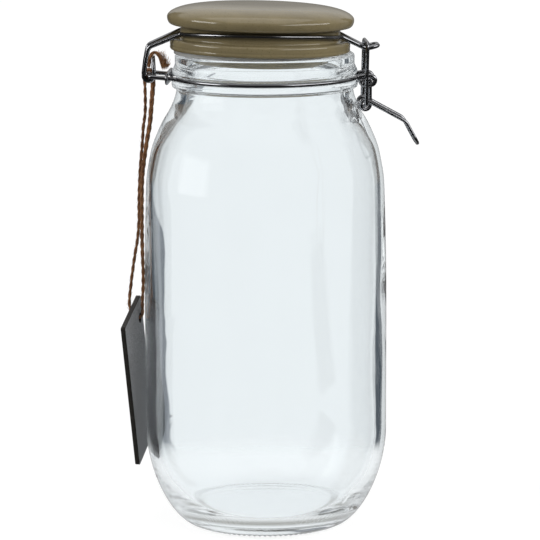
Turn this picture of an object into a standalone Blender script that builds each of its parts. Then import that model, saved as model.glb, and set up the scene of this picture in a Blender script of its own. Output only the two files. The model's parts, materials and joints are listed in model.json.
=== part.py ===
"""Glass storage jar whose ceramic lid is held by a wire hinge and a wire lever clasp.

The jar stands on z = 0 with its axis on Z. The hinge is on the -X side and the clasp on the +X
side. All sizes are in metres.
"""
import math

import bmesh
import bpy
from mathutils import Matrix, Vector

# Clearances
SEAT_GAP = 0.0003            # between pieces that rest on each other
SIDE_GAP = 0.00045           # between neighbouring wires of the clasp
COIL_EASE = 0.0005           # round the link's foot inside the lever's coil
SHOULDER_GAP = 0.0003        # between the lever's coil and the glass
LATCH_EASE = 0.00105         # between the link's bar and the tongue it holds down

# Glass jar
JAR_HEIGHT = 0.2434
BODY_RADIUS = 0.0624
BODY_DRAW_IN = 0.00105       # how much slimmer the body is where the shoulder starts
FOOT_RADIUS = 0.0405
FOOT_RISE = 0.048            # height of the curve from the foot to the wall
WALL = 0.0032
FLOOR_THICKNESS = 0.0075
FLOOR_RADIUS = 0.036         # flat part of the floor inside
SHOULDER_RISE = 0.054
NECK_RADIUS = 0.0452         # bottom of the groove that holds the neck wire
NECK_WALL = 0.005
GROOVE_DROP = 0.0119         # rim top down to the middle of the groove
GROOVE_EASE = 0.0005
LOWER_BEAD_PROUD = 0.0023
LOWER_BEAD_HEIGHT = 0.0033
UPPER_BEAD_PROUD = 0.002
UPPER_BEAD_HEIGHT = 0.0021
UNDERCUT_HEIGHT = 0.0026
COLLAR_HEIGHT = 0.0028       # slope between the upper bead and the rim band
RIM_PROUD = 0.0006
RIM_ROUNDING = 0.0013

# Ceramic lid, measured from the rim's top along the lid's own axis
LID_SHIFT = 0.00243          # the lid sits a little towards the hinge
LID_LEAN = math.radians(1.47)
LIP_PROUD = 0.0001           # the lip stands this far out past the rim
LIP_WIDTH = 0.0017
LIP_FOOT = 0.0015
SEAT_RISE = 0.003
FLANGE_RISE = 0.0072         # top of the flange under the wire's groove
FLANGE_STEP = 0.0007         # the flange's bulge is this much inside the lip
FLANGE_SLOPE_WIDTH = 0.0024
NOTCH_DEPTH = 0.0014
WIRE_GROOVE_DEPTH = 0.0052
WIRE_GROOVE_HEIGHT = 0.007
DISC_OVERHANG = 0.0017       # the disc's edge stands this far out past the lip
DISC_EDGE_HEIGHT = 0.0037
DISC_EDGE_WIDTH = 0.0023
DOME_HEIGHT = 0.0072
PLUG_GAP = 0.0013
PLUG_DEPTH = 0.0049
PLUG_TAPER = 0.0015
RECESS_DEPTH = 0.0025
RECESS_SHARE = 0.75

# Seal
SEAL_INSET = 0.0002

# Wires
NECK_WIRE_RADIUS = 0.0011
LID_WIRE_RADIUS = 0.00115
LEVER_WIRE_RADIUS = 0.00095
LINK_WIRE_RADIUS = 0.001
FERRULE_WIRE_RADIUS = 0.0008

# Hinge side of the neck wire
HINGE_REACH = 0.0125         # neck ring to hinge bar
HINGE_RISE = 0.0015
HINGE_STRAND_OFFSET = 0.0124
HINGE_BEND = 0.0022
RING_EXIT_TURN = math.radians(5.0)
RING_EXIT_BEND = 0.002
FERRULE_REACH = 0.0022       # neck ring to the ferrule round both strands
FERRULE_YAW = math.radians(6.0)

# Clasp
LEVER_ARM_OFFSET = 0.00685
EYE_SLOT = 0.0028            # straight part of each eye
EYE_RISE = 0.00075
CURL_RISE = 0.0008           # how far the eye's free end comes up again
LEVER_ARM_LENGTH = 0.01265
LEVER_BEND = 0.0015
COIL_PITCH = 0.0025
COIL_TURN = math.radians(270.0)
TAIL_DROP = math.radians(28.7)
TAIL_LENGTH = 0.0222
TAIL_BEND = 0.006
GRIP_DROP = math.radians(61.9)
GRIP_LENGTH = 0.01315
GRIP_CORNER = 0.004
LINK_FOOT_SHARE = 0.75       # how far the link's foot goes into the coil
LINK_FOOT_BEND = 0.0018
LINK_TOP_BEND = 0.0025
LATCH_LEAN = 0.0019          # pivot to tongue, so that the closed link stands over centre
LATCH_SET = 0.00025

# Lid wire
HOOK_OFFSET = 0.0075
HOOK_RETURN = 0.0088
HOOK_RETURN_LEAN = 0.0004
ARM_RISE = 0.0144
ARM_LEAN = 0.0024
ARM_MID_SHARES = (0.5, 0.4)  # rise and lean of the arm's slight bow
ARM_BEND = 0.0035
LID_STRAND_OFFSET = 0.0125
LID_RING_SEAT = 0.0004
LID_RING_ARCH = 0.0033       # the ring is this much higher at the front and back
TONGUE_RISE = 0.00235        # rim top to the valley of the tongue
TONGUE_OFFSET = 0.0062
TONGUE_LENGTH = 0.006
TONGUE_TIP_RISE = 0.0014
TONGUE_TIP_OFFSET = 0.0058
TONGUE_BEND = 0.003

# Twine
TWINE_RADIUS = 0.0009
WRAP_OFFSET = 0.0024         # the two legs of the loop are this far from the middle
WRAP_TURNS = 1.5

# Tag
TAG_WIDTH = 0.035
TAG_HEIGHT = 0.082
TAG_THICKNESS = 0.0025
TAG_TURN = math.radians(14.3)
TAG_TILT = math.radians(19.0)
TAG_STANDOFF = 0.0037        # jar wall to the middle of the board at its hole
TAG_HOLE_HEIGHT = 0.1069
TAG_HOLE_RADIUS = 0.0027
TAG_HOLE_EDGE = 0.0055
TAG_HOLE_DROP = 0.0105
CUT_OVERRUN = 0.002

# Resolution
JAR_SEGMENTS = 56
LID_SEGMENTS = 48
RING_STEP = math.radians(7.5)
BEND_STEP = math.radians(24.0)
ROUNDING_STEPS = 3
EDGE_STEPS = 4
DOME_STEPS = 9
WIRE_RESOLUTION = 2
ROUTE_STEPS = 12             # between two points of a cord's route
TWINE_SPACING = 4 * TWINE_RADIUS
HOLE_SEGMENTS = 16
SHARP_ANGLE = math.radians(40.0)
RUN_SHARE = 0.49             # a bend takes at most this share of the runs beside it
SMALLEST = 1e-6              # points closer than this are one point

# Shares of an outline's run (height or width) paired with shares of its rise
FOOT_SHARES = (0.06, 0.15, 0.26, 0.40, 0.58, 0.78)
SHOULDER_SHARES = (
    (0.18, 0.03), (0.33, 0.11), (0.48, 0.22), (0.61, 0.39),
    (0.72, 0.565), (0.83, 0.785), (0.93, 0.93),
)
DRAW_IN_SHARES = (0.6, 1.0)
UNDERCUT_SHARE = 0.4
LOWER_BEAD_SHARES = ((0.85, 0.0), (1.0, 0.3), (1.0, 0.7), (0.75, 1.0))
UPPER_BEAD_SHARES = ((0.7, 0.0), (1.0, 0.35), (1.0, 0.9))
GROOVE_FLAT_SHARE = 0.75
HEEL_SHARES = (0.3, 0.72)    # centre of the rounding under the disc, in the wire's groove
HEEL_ROUNDING_SHARES = (0.3, 0.22)
GROOVE_FOOT_SHARE = 0.1
FLANGE_EDGE_SHARES = ((0.4, 1.5), (0.0, 2.6))
NOTCH_SHARES = ((0.65, 0.6), (1.0, 0.1), (0.2, -0.4))
LIP_FOOT_SHARES = (0.3, 0.7)
PLUG_END_SHARES = ((0.6, 0.75), (1.4, 1.0))

# Colour, roughness and metallic share of each finish
GLASS_FINISH = ((0.93, 0.96, 0.97), 0.03, 0.0)
GLAZE_FINISH = ((0.24, 0.21, 0.14), 0.15, 0.0)
SILICONE_FINISH = ((0.82, 0.82, 0.80), 0.35, 0.0)
STEEL_FINISH = ((0.20, 0.20, 0.21), 0.28, 1.0)
JUTE_FINISH = ((0.32, 0.17, 0.07), 0.9, 0.0)
BOARD_FINISH = ((0.10, 0.10, 0.11), 0.8, 0.0)

# Powers of the curves of the foot and of the lid's dome: across, then up
FOOT_POWERS = (1.5, 1.8)
DOME_POWERS = (0.52, 1.26)

# Places worked out from the sizes above
MOUTH_RADIUS = NECK_RADIUS - NECK_WALL
GROOVE_HEIGHT = JAR_HEIGHT - GROOVE_DROP
GROOVE_HALF = NECK_WIRE_RADIUS + GROOVE_EASE
NECK_FOOT = GROOVE_HEIGHT - GROOVE_HALF - LOWER_BEAD_HEIGHT - UNDERCUT_HEIGHT
SHOULDER_FOOT = NECK_FOOT - SHOULDER_RISE
SHOULDER_RADIUS = BODY_RADIUS - BODY_DRAW_IN
LOWER_BEAD_RADIUS = NECK_RADIUS + LOWER_BEAD_PROUD
UPPER_BEAD_RADIUS = NECK_RADIUS + UPPER_BEAD_PROUD
RIM_RADIUS = NECK_RADIUS + RIM_PROUD



def shoulder_radius(height):
    """The glass's outer radius at a height between shoulder and neck."""
    up = (height - SHOULDER_FOOT) / SHOULDER_RISE
    shares = ((0.0, 0.0),) + SHOULDER_SHARES + ((1.0, 1.0),)
    for (low, inwards), (high, further) in zip(shares, shares[1:]):
        if up <= high:
            break
    inwards += (further - inwards) * (up - low) / (high - low)
    return SHOULDER_RADIUS - (SHOULDER_RADIUS - NECK_RADIUS) * inwards


LIP_RADIUS = RIM_RADIUS + LIP_PROUD
DISC_RADIUS = LIP_RADIUS + DISC_OVERHANG
PLUG_RADIUS = MOUTH_RADIUS - LID_SHIFT - PLUG_GAP
CORE_RADIUS = LIP_RADIUS - WIRE_GROOVE_DEPTH
FLANGE_RADIUS = LIP_RADIUS - FLANGE_STEP
DISC_UNDERSIDE = FLANGE_RISE + WIRE_GROOVE_HEIGHT
DISC_EDGE_RISE = DISC_UNDERSIDE + DISC_EDGE_HEIGHT

RING_RADIUS = NECK_RADIUS + SEAT_GAP + NECK_WIRE_RADIUS
HINGE = Vector((-RING_RADIUS - HINGE_REACH, 0.0, GROOVE_HEIGHT + HINGE_RISE))

EYE_RADIUS = LEVER_WIRE_RADIUS + SEAT_GAP + NECK_WIRE_RADIUS
EYE_OFFSET = LEVER_ARM_OFFSET + LEVER_WIRE_RADIUS + SIDE_GAP + NECK_WIRE_RADIUS
EYE_OUTSIDE = EYE_OFFSET + NECK_WIRE_RADIUS
EYE_BACK = math.sqrt((LOWER_BEAD_RADIUS + SEAT_GAP) ** 2 - (EYE_OFFSET - NECK_WIRE_RADIUS) ** 2)
EYE_BACK += EYE_RADIUS + NECK_WIRE_RADIUS
PIVOT_HEIGHT = GROOVE_HEIGHT + EYE_RISE - EYE_RADIUS
COIL_RADIUS = LINK_WIRE_RADIUS + COIL_EASE + LEVER_WIRE_RADIUS
COIL_REACH = (COIL_RADIUS + LEVER_WIRE_RADIUS) / math.sqrt(2.0)
GLASS_AT_COIL = shoulder_radius(PIVOT_HEIGHT - LEVER_ARM_LENGTH - COIL_REACH) + SHOULDER_GAP
COIL_BACK = math.sqrt(GLASS_AT_COIL ** 2 - LEVER_ARM_OFFSET ** 2) + COIL_REACH
PIVOT_REACH = max(EYE_BACK + EYE_SLOT, COIL_BACK + COIL_RADIUS)
PIVOT = Vector((PIVOT_REACH, 0.0, PIVOT_HEIGHT))
COIL = PIVOT - Vector((COIL_RADIUS, 0.0, LEVER_ARM_LENGTH))
TAIL_OFFSET = LEVER_ARM_OFFSET + COIL_PITCH
LINK_INSIDE = max(EYE_OUTSIDE, TAIL_OFFSET + LEVER_WIRE_RADIUS) + SEAT_GAP
LINK_OFFSET = LINK_INSIDE + LINK_WIRE_RADIUS
TONGUE = Vector((PIVOT.x - LATCH_LEAN, 0.0, JAR_HEIGHT + TONGUE_RISE))
LINK_TOP = TONGUE + Vector((LATCH_SET, 0.0, LID_WIRE_RADIUS + LINK_WIRE_RADIUS + LATCH_EASE))

HOOK_RADIUS = NECK_WIRE_RADIUS + SEAT_GAP + LID_WIRE_RADIUS
LID_RING_RADIUS = CORE_RADIUS + SEAT_GAP + LID_WIRE_RADIUS
LID_RING_RISE = FLANGE_RISE + LID_RING_SEAT + LID_WIRE_RADIUS

WRAP_RADIUS = NECK_WIRE_RADIUS + SEAT_GAP + TWINE_RADIUS

# Route of the twine's loop: down one leg, through the tag's hole and up the other
TWINE_ROUTE = (
    (-0.0614, 0.0024, 0.2309), (-0.0611, 0.0024, 0.2275), (-0.0610, 0.0023, 0.2200),
    (-0.0612, 0.0022, 0.2130), (-0.0622, 0.0021, 0.2050), (-0.0630, 0.0020, 0.1950),
    (-0.0641, 0.0020, 0.1836), (-0.0648, 0.0020, 0.1690), (-0.0651, 0.0021, 0.1550),
    (-0.0661, 0.0022, 0.1460), (-0.0677, 0.0023, 0.1368), (-0.0691, 0.0024, 0.1270),
    (-0.0701, 0.0025, 0.1190), (-0.0704, 0.0024, 0.1140), (-0.0699, 0.0019, 0.1103),
    (-0.0687, 0.0011, 0.1082), (-0.0673, 0.0005, 0.1073), (-0.0661, 0.0001, 0.1071),
    (-0.0649, -0.0002, 0.1074), (-0.0639, -0.0013, 0.1087), (-0.0637, -0.0034, 0.1111),
    (-0.0637, -0.0053, 0.1142), (-0.0636, -0.0070, 0.1185), (-0.0632, -0.0080, 0.1255),
    (-0.0632, -0.0076, 0.1340),
    (-0.0634, -0.0060, 0.1430), (-0.0635, -0.0044, 0.1540), (-0.0634, -0.0032, 0.1670),
    (-0.0631, -0.0027, 0.1790), (-0.0622, -0.0025, 0.1875), (-0.0612, -0.0024, 0.1944),
    (-0.0602, -0.0024, 0.2005), (-0.0591, -0.0024, 0.2065), (-0.0583, -0.0024, 0.2130),
    (-0.0578, -0.0024, 0.2190), (-0.0572, -0.0024, 0.2255), (-0.0568, -0.0024, 0.2309),
)

# Route of the twine's loose end, which arches out of the wrap and curls up again
TWINE_END_ROUTE = (
    (-0.0590, 0.0000, 0.23655), (-0.0589, 0.0000, 0.2385), (-0.0585, -0.0002, 0.2410),
    (-0.0574, -0.0004, 0.2434), (-0.0557, -0.0005, 0.2442), (-0.0541, -0.0006, 0.2430),
    (-0.0531, -0.0005, 0.2408), (-0.0524, -0.0003, 0.2386), (-0.0510, 0.0000, 0.2374),
    (-0.0495, 0.0002, 0.2380), (-0.0488, 0.0004, 0.2398), (-0.0489, 0.0005, 0.2412),
)


def clear_scene():
    """Removes every object that a new file holds."""
    for thing in list(bpy.data.objects):
        bpy.data.objects.remove(thing, do_unlink=True)


def make_material(name, finish, transmission=0.0):
    """Returns a plain finish for one sub-part."""
    colour, roughness, metallic = finish
    material = bpy.data.materials.new(name)
    material.use_nodes = True
    shader = material.node_tree.nodes["Principled BSDF"]
    shader.inputs["Base Color"].default_value = (*colour, 1.0)
    shader.inputs["Roughness"].default_value = roughness
    shader.inputs["Metallic"].default_value = metallic
    shader.inputs["Transmission Weight"].default_value = transmission
    return material


def add_object(name, data, material, joint=None):
    """Puts a mesh or curve into the scene, with its origin on its joint's axis."""
    data.materials.append(material)
    thing = bpy.data.objects.new(name, data)
    bpy.context.scene.collection.objects.link(thing)
    if joint is not None:
        thing.parent = joint
        data.transform(Matrix.Translation(-joint.matrix_world.translation))
    return thing


def add_joint(name, place, parent=None):
    """Adds an empty on a joint's axis, for the pieces that turn about it."""
    empty = bpy.data.objects.new(name, None)
    empty.location = place
    if parent is not None:
        empty.parent = parent
        empty.location = place - parent.matrix_world.translation
    bpy.context.scene.collection.objects.link(empty)
    bpy.context.view_layer.update()
    return empty


def turned_mesh(name, outline, segments):
    """Turns a closed (radius, height) outline about Z into one closed body."""
    mesh = bpy.data.meshes.new(name)
    body = bmesh.new()
    points = [body.verts.new((radius, 0.0, height)) for radius, height in outline]
    edges = [body.edges.new(pair) for pair in zip(points, points[1:])]
    if outline[0][0] > 0.0:
        edges.append(body.edges.new((points[-1], points[0])))
    bmesh.ops.spin(
        body, geom=points + edges, cent=(0.0, 0.0, 0.0), axis=(0.0, 0.0, 1.0),
        angle=math.tau, steps=segments, use_merge=True,
    )
    bmesh.ops.remove_doubles(body, verts=body.verts, dist=SMALLEST)
    bmesh.ops.recalc_face_normals(body, faces=body.faces)
    body.to_mesh(mesh)
    body.free()
    mesh.shade_smooth()
    mesh.set_sharp_from_angle(angle=SHARP_ANGLE)
    return mesh


def wire_curve(name, points, radius, closed=False):
    """Makes a round wire that follows the points, with flat ends unless it is closed."""
    curve = bpy.data.curves.new(name, "CURVE")
    curve.dimensions = "3D"
    curve.bevel_depth = radius
    curve.bevel_resolution = WIRE_RESOLUTION
    curve.use_fill_caps = not closed
    spline = curve.splines.new("POLY")
    spline.points.add(len(points) - 1)
    for slot, point in zip(spline.points, points):
        slot.co = (*point, 1.0)
    spline.use_cyclic_u = closed
    spline.use_smooth = True
    return curve


def arc_points(centre, right, up, radii, start, end, step):
    """Points on an arc in the plane of two directions, both ends included."""
    count = max(1, math.ceil(abs(end - start) / step))
    points = []
    for index in range(count + 1):
        angle = start + (end - start) * index / count
        across = right * (radii[0] * math.cos(angle))
        points.append(centre + across + up * (radii[1] * math.sin(angle)))
    return points


def outline_arc(centre, radii, start, end, count):
    """Points of a quarter round in an outline's (radius, height) plane."""
    points = []
    for index in range(count + 1):
        angle = start + (end - start) * index / count
        across = centre[0] + radii[0] * math.cos(angle)
        points.append((across, centre[1] + radii[1] * math.sin(angle)))
    return points


def bent_path(corners):
    """Turns (point, bend radius) pairs into straight runs joined by round bends."""
    points = []
    last = len(corners) - 1
    for index, (place, radius) in enumerate(corners):
        if index in (0, last) or radius == 0.0:
            points.append(place)
            continue
        back = corners[index - 1][0] - place
        ahead = corners[index + 1][0] - place
        turn = math.pi - back.angle(ahead)
        reach = radius * math.tan(turn / 2)
        reach = min(reach, back.length * RUN_SHARE, ahead.length * RUN_SHARE)
        fitted = reach / math.tan(turn / 2)
        towards = (back.normalized() + ahead.normalized()).normalized()
        centre = place + towards * math.hypot(fitted, reach)
        start = place + back.normalized() * reach - centre
        side = back.normalized() * -1.0
        points += arc_points(
            centre, start.normalized(), side, (fitted, fitted), 0.0, turn, BEND_STEP,
        )
    return points


def smooth_route(route, spacing):
    """Reads points at an even spacing from a smooth curve through a cord's route."""
    knots = [Vector(place) for place in route]
    knots = [knots[0] * 2 - knots[1]] + knots + [knots[-1] * 2 - knots[-2]]
    dense = []
    for before, start, end, after in zip(knots, knots[1:], knots[2:], knots[3:]):
        for index in range(ROUTE_STEPS):
            t = index / ROUTE_STEPS
            point = start * 2 + (end - before) * t
            point += (before * 2 - start * 5 + end * 4 - after) * t ** 2
            point += (start * 3 - before - end * 3 + after) * t ** 3
            dense.append(point / 2)
    dense.append(knots[-2])
    lengths = [0.0]
    for start, end in zip(dense, dense[1:]):
        lengths.append(lengths[-1] + (end - start).length)
    count = max(2, round(lengths[-1] / spacing))
    points = []
    place = 0
    for index in range(count + 1):
        wanted = lengths[-1] * index / count
        while place < len(dense) - 2 and lengths[place + 1] < wanted:
            place += 1
        run = lengths[place + 1] - lengths[place]
        points.append(dense[place].lerp(dense[place + 1], (wanted - lengths[place]) / run))
    return points


def mirrored(points):
    """The same points on the other side of the XZ plane, in reverse order."""
    return [Vector((p.x, -p.y, p.z)) for p in reversed(points)]


def lid_place(radius, angle, rise):
    """A point given in the lid's own frame, in the jar's frame."""
    flat = Vector((radius * math.cos(angle), radius * math.sin(angle), rise))
    return lid_matrix() @ flat


def lid_matrix():
    """The lid's frame: on the rim, moved towards the hinge and leaning to the clasp."""
    place = Matrix.Translation((-LID_SHIFT, 0.0, JAR_HEIGHT))
    return place @ Matrix.Rotation(LID_LEAN, 4, "Y")


def foot_curve_share(share):
    """How far the wall has come out, as a share, at a share of the foot's height."""
    across_power, rise_power = FOOT_POWERS
    return (1.0 - (1.0 - share) ** rise_power) ** (1.0 / across_power)


def jar_outer_outline():
    """The jar's outside from the middle of its base up to the rim's top."""
    outline = [(0.0, 0.0), (FOOT_RADIUS, 0.0)]
    for share in FOOT_SHARES:
        swell = (BODY_RADIUS - FOOT_RADIUS) * foot_curve_share(share)
        outline.append((FOOT_RADIUS + swell, FOOT_RISE * share))
    straight_top = (FOOT_RISE + SHOULDER_FOOT) / 2
    outline += [(BODY_RADIUS, FOOT_RISE), (BODY_RADIUS, straight_top)]
    for share in DRAW_IN_SHARES:
        height = straight_top + (SHOULDER_FOOT - straight_top) * share
        outline.append((BODY_RADIUS - BODY_DRAW_IN * share ** 2, height))
    for up, inwards in SHOULDER_SHARES:
        radius = SHOULDER_RADIUS - (SHOULDER_RADIUS - NECK_RADIUS) * inwards
        outline.append((radius, SHOULDER_FOOT + SHOULDER_RISE * up))
    outline += [(NECK_RADIUS, NECK_FOOT)]

    bead_top = GROOVE_HEIGHT - GROOVE_HALF
    bead_foot = bead_top - LOWER_BEAD_HEIGHT
    outline.append((NECK_RADIUS, bead_foot - UNDERCUT_HEIGHT * UNDERCUT_SHARE))
    for proud, up in LOWER_BEAD_SHARES:
        outline.append((NECK_RADIUS + LOWER_BEAD_PROUD * proud, bead_foot + LOWER_BEAD_HEIGHT * up))
    for side in (-1, 1):
        outline.append((NECK_RADIUS, GROOVE_HEIGHT + side * GROOVE_HALF * GROOVE_FLAT_SHARE))
    bead_foot = GROOVE_HEIGHT + GROOVE_HALF
    for proud, up in UPPER_BEAD_SHARES:
        outline.append((NECK_RADIUS + UPPER_BEAD_PROUD * proud, bead_foot + UPPER_BEAD_HEIGHT * up))
    outline.append((RIM_RADIUS, bead_foot + UPPER_BEAD_HEIGHT + COLLAR_HEIGHT))
    centre = (RIM_RADIUS - RIM_ROUNDING, JAR_HEIGHT - RIM_ROUNDING)
    rounding = (RIM_ROUNDING, RIM_ROUNDING)
    outline += outline_arc(centre, rounding, 0.0, math.pi / 2, ROUNDING_STEPS)
    return outline


def jar_inner_outline():
    """The jar's inside from the rim's top down to the middle of the floor."""
    centre = (MOUTH_RADIUS + RIM_ROUNDING, JAR_HEIGHT - RIM_ROUNDING)
    rounding = (RIM_ROUNDING, RIM_ROUNDING)
    outline = outline_arc(centre, rounding, math.pi / 2, math.pi, ROUNDING_STEPS)
    outline.append((MOUTH_RADIUS, NECK_FOOT))
    inner_radius = SHOULDER_RADIUS - WALL
    for up, inwards in reversed(SHOULDER_SHARES):
        radius = inner_radius - (inner_radius - MOUTH_RADIUS) * inwards
        outline.append((radius, SHOULDER_FOOT + SHOULDER_RISE * up - WALL * inwards))
    outline += [
        (inner_radius, SHOULDER_FOOT),
        (BODY_RADIUS - WALL, (FOOT_RISE + SHOULDER_FOOT) / 2),
        (BODY_RADIUS - WALL, FOOT_RISE),
    ]
    for share in reversed(FOOT_SHARES):
        swell = (BODY_RADIUS - WALL - FLOOR_RADIUS) * foot_curve_share(share)
        height = FLOOR_THICKNESS + (FOOT_RISE - FLOOR_THICKNESS) * share
        outline.append((FLOOR_RADIUS + swell, height))
    outline += [(FLOOR_RADIUS, FLOOR_THICKNESS), (0.0, FLOOR_THICKNESS)]
    return outline


def build_jar(material):
    """The glass body: foot, wall, shoulder, beaded neck, rim and the space inside."""
    outline = jar_outer_outline() + jar_inner_outline()
    add_object("jar", turned_mesh("jar", outline, JAR_SEGMENTS), material)


def lid_outline():
    """The lid from the top of its dome, round its edge and flange, to the plug's recess."""
    across_power, rise_power = DOME_POWERS
    outline = []
    for index in range(DOME_STEPS):
        angle = math.pi / 2 * index / DOME_STEPS
        across = DISC_RADIUS * math.sin(angle) ** across_power
        outline.append((across, DISC_EDGE_RISE + DOME_HEIGHT * math.cos(angle) ** rise_power))
    edge_centre = (DISC_RADIUS - DISC_EDGE_WIDTH, DISC_EDGE_RISE)
    edge = (DISC_EDGE_WIDTH, DISC_EDGE_HEIGHT)
    outline += outline_arc(edge_centre, edge, 0.0, -math.pi / 2, EDGE_STEPS)

    out, up = HEEL_SHARES
    heel_centre = (CORE_RADIUS + WIRE_GROOVE_DEPTH * out, FLANGE_RISE + WIRE_GROOVE_HEIGHT * up)
    out, up = HEEL_ROUNDING_SHARES
    heel = (WIRE_GROOVE_DEPTH * out, WIRE_GROOVE_HEIGHT * up)
    outline += outline_arc(heel_centre, heel, math.pi / 2, math.pi, ROUNDING_STEPS)
    foot = GROOVE_FOOT_SHARE
    outline += [
        (CORE_RADIUS, FLANGE_RISE + WIRE_GROOVE_HEIGHT * foot),
        (CORE_RADIUS + WIRE_GROOVE_DEPTH * foot, FLANGE_RISE),
        (LIP_RADIUS - FLANGE_SLOPE_WIDTH, FLANGE_RISE - FLANGE_STEP),
    ]
    for inwards, down in FLANGE_EDGE_SHARES:
        outline.append((FLANGE_RADIUS - FLANGE_STEP * inwards, FLANGE_RISE - FLANGE_STEP * down))
    for inwards, up in NOTCH_SHARES:
        outline.append((LIP_RADIUS - NOTCH_DEPTH * inwards, SEAT_RISE + NOTCH_DEPTH * up))
    outline.append((LIP_RADIUS, (SEAT_RISE + LIP_FOOT) / 2))
    outline += [(LIP_RADIUS - LIP_WIDTH * inwards, LIP_FOOT) for inwards in LIP_FOOT_SHARES]
    outline += [(LIP_RADIUS - LIP_WIDTH, SEAT_RISE), (PLUG_RADIUS, SEAT_RISE)]
    for inwards, down in PLUG_END_SHARES:
        outline.append((PLUG_RADIUS - PLUG_TAPER * inwards, -PLUG_DEPTH * down))
    outline += [
        (PLUG_RADIUS * RECESS_SHARE, -PLUG_DEPTH),
        (PLUG_RADIUS * RECESS_SHARE - RECESS_DEPTH, RECESS_DEPTH - PLUG_DEPTH),
        (0.0, RECESS_DEPTH - PLUG_DEPTH),
    ]
    return outline


def build_lid(material, joint):
    """The glazed lid: domed disc, groove for the wire, flange, lip and plug."""
    mesh = turned_mesh("lid", lid_outline(), LID_SEGMENTS)
    mesh.transform(lid_matrix())
    add_object("lid", mesh, material, joint)


def build_seal(material, joint):
    """The soft ring between lid and rim: its top follows the leaning lid, its foot is level."""
    inner = PLUG_RADIUS + SEAT_GAP
    outer = LIP_RADIUS - LIP_WIDTH - SEAT_GAP
    top = SEAT_RISE - SEAT_GAP
    outline = [
        (inner, top), (inner, SEAL_INSET), (inner + SEAL_INSET, 0.0),
        (outer - SEAL_INSET, 0.0), (outer, SEAL_INSET), (outer, top),
    ]
    mesh = turned_mesh("lid_seal", outline, LID_SEGMENTS)
    foot = [vertex.index for vertex in mesh.vertices if vertex.co.z < top - SEAL_INSET]
    lifts = {index: mesh.vertices[index].co.z for index in foot}
    mesh.transform(lid_matrix())
    for index, lift in lifts.items():
        mesh.vertices[index].co.z = JAR_HEIGHT + SEAT_GAP + lift
    add_object("lid_seal", mesh, material, joint)


def ring_exit(radius, offset, side):
    """Where a strand leaves a ring: the last point on the ring and the corner after it."""
    angle = math.asin(offset / radius) + RING_EXIT_TURN
    run = (radius * math.sin(angle) - offset) / math.cos(angle)
    corner = radius * math.cos(angle) + run * math.sin(angle)
    return angle, side * corner


def neck_wire_front():
    """The front half of the neck wire, from its curled eye to the middle of the hinge bar."""
    right, up = Vector((1.0, 0.0, 0.0)), Vector((0.0, 0.0, 1.0))
    eye = Vector((EYE_BACK, -EYE_OFFSET, PIVOT.z))
    pivot = Vector((PIVOT.x, -EYE_OFFSET, PIVOT.z))
    radii = (EYE_RADIUS, EYE_RADIUS)
    points = [eye - right * EYE_RADIUS + up * CURL_RISE]
    points += arc_points(eye, right, up, radii, math.pi, math.pi * 1.5, BEND_STEP)
    points += arc_points(pivot, right, up, radii, -math.pi / 2, math.pi / 2, BEND_STEP)

    right_angle, right_corner = ring_exit(RING_RADIUS, EYE_OFFSET, 1)
    left_angle, left_corner = ring_exit(RING_RADIUS, HINGE_STRAND_OFFSET, -1)
    centre = Vector((0.0, 0.0, GROOVE_HEIGHT))
    ring = arc_points(
        centre, right, Vector((0.0, -1.0, 0.0)), (RING_RADIUS, RING_RADIUS),
        right_angle, math.pi - left_angle, RING_STEP,
    )
    corners = [(points.pop(), 0.0)]
    corners.append((eye + up * EYE_RADIUS, RING_EXIT_BEND))
    corners.append((Vector((right_corner, -EYE_OFFSET, GROOVE_HEIGHT)), RING_EXIT_BEND))
    corners += [(place, 0.0) for place in ring]
    corners.append((Vector((left_corner, -HINGE_STRAND_OFFSET, GROOVE_HEIGHT)), RING_EXIT_BEND))
    corners.append((Vector((HINGE.x, -HINGE_STRAND_OFFSET, HINGE.z)), HINGE_BEND))
    corners.append((HINGE.copy(), 0.0))
    return points + bent_path(corners)


def build_neck_wire(material):
    """One wire: eye, half ring, hinge strand, hinge bar, strand, half ring, eye."""
    front = neck_wire_front()
    points = front[:-1] + mirrored(front[:-1])
    add_object("neck_wire", wire_curve("neck_wire", points, NECK_WIRE_RADIUS), material)


def strand_height(x):
    """Height of the hinge strands at a place between neck ring and hinge bar."""
    corner = ring_exit(RING_RADIUS, HINGE_STRAND_OFFSET, -1)[1]
    share = (x - corner) / (HINGE.x - corner)
    return GROOVE_HEIGHT + HINGE_RISE * share


def build_ferrule(material):
    """The closed wire loop that ties both hinge strands together beside the neck."""
    x = -RING_RADIUS - FERRULE_REACH
    centre = Vector((x, 0.0, strand_height(x)))
    radius = NECK_WIRE_RADIUS + SIDE_GAP + FERRULE_WIRE_RADIUS
    across = Vector((math.sin(FERRULE_YAW), math.cos(FERRULE_YAW), 0.0))
    up = Vector((0.0, 0.0, 1.0))
    reach = HINGE_STRAND_OFFSET / math.cos(FERRULE_YAW)
    points = []
    for side in (1, -1):
        middle = centre + across * (side * reach)
        points += arc_points(middle, across * side, up * side, (radius, radius),
                             -math.pi / 2, math.pi / 2, BEND_STEP)
    curve = wire_curve("neck_wire_ferrule", points, FERRULE_WIRE_RADIUS, closed=True)
    add_object("neck_wire_ferrule", curve, material)


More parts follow.
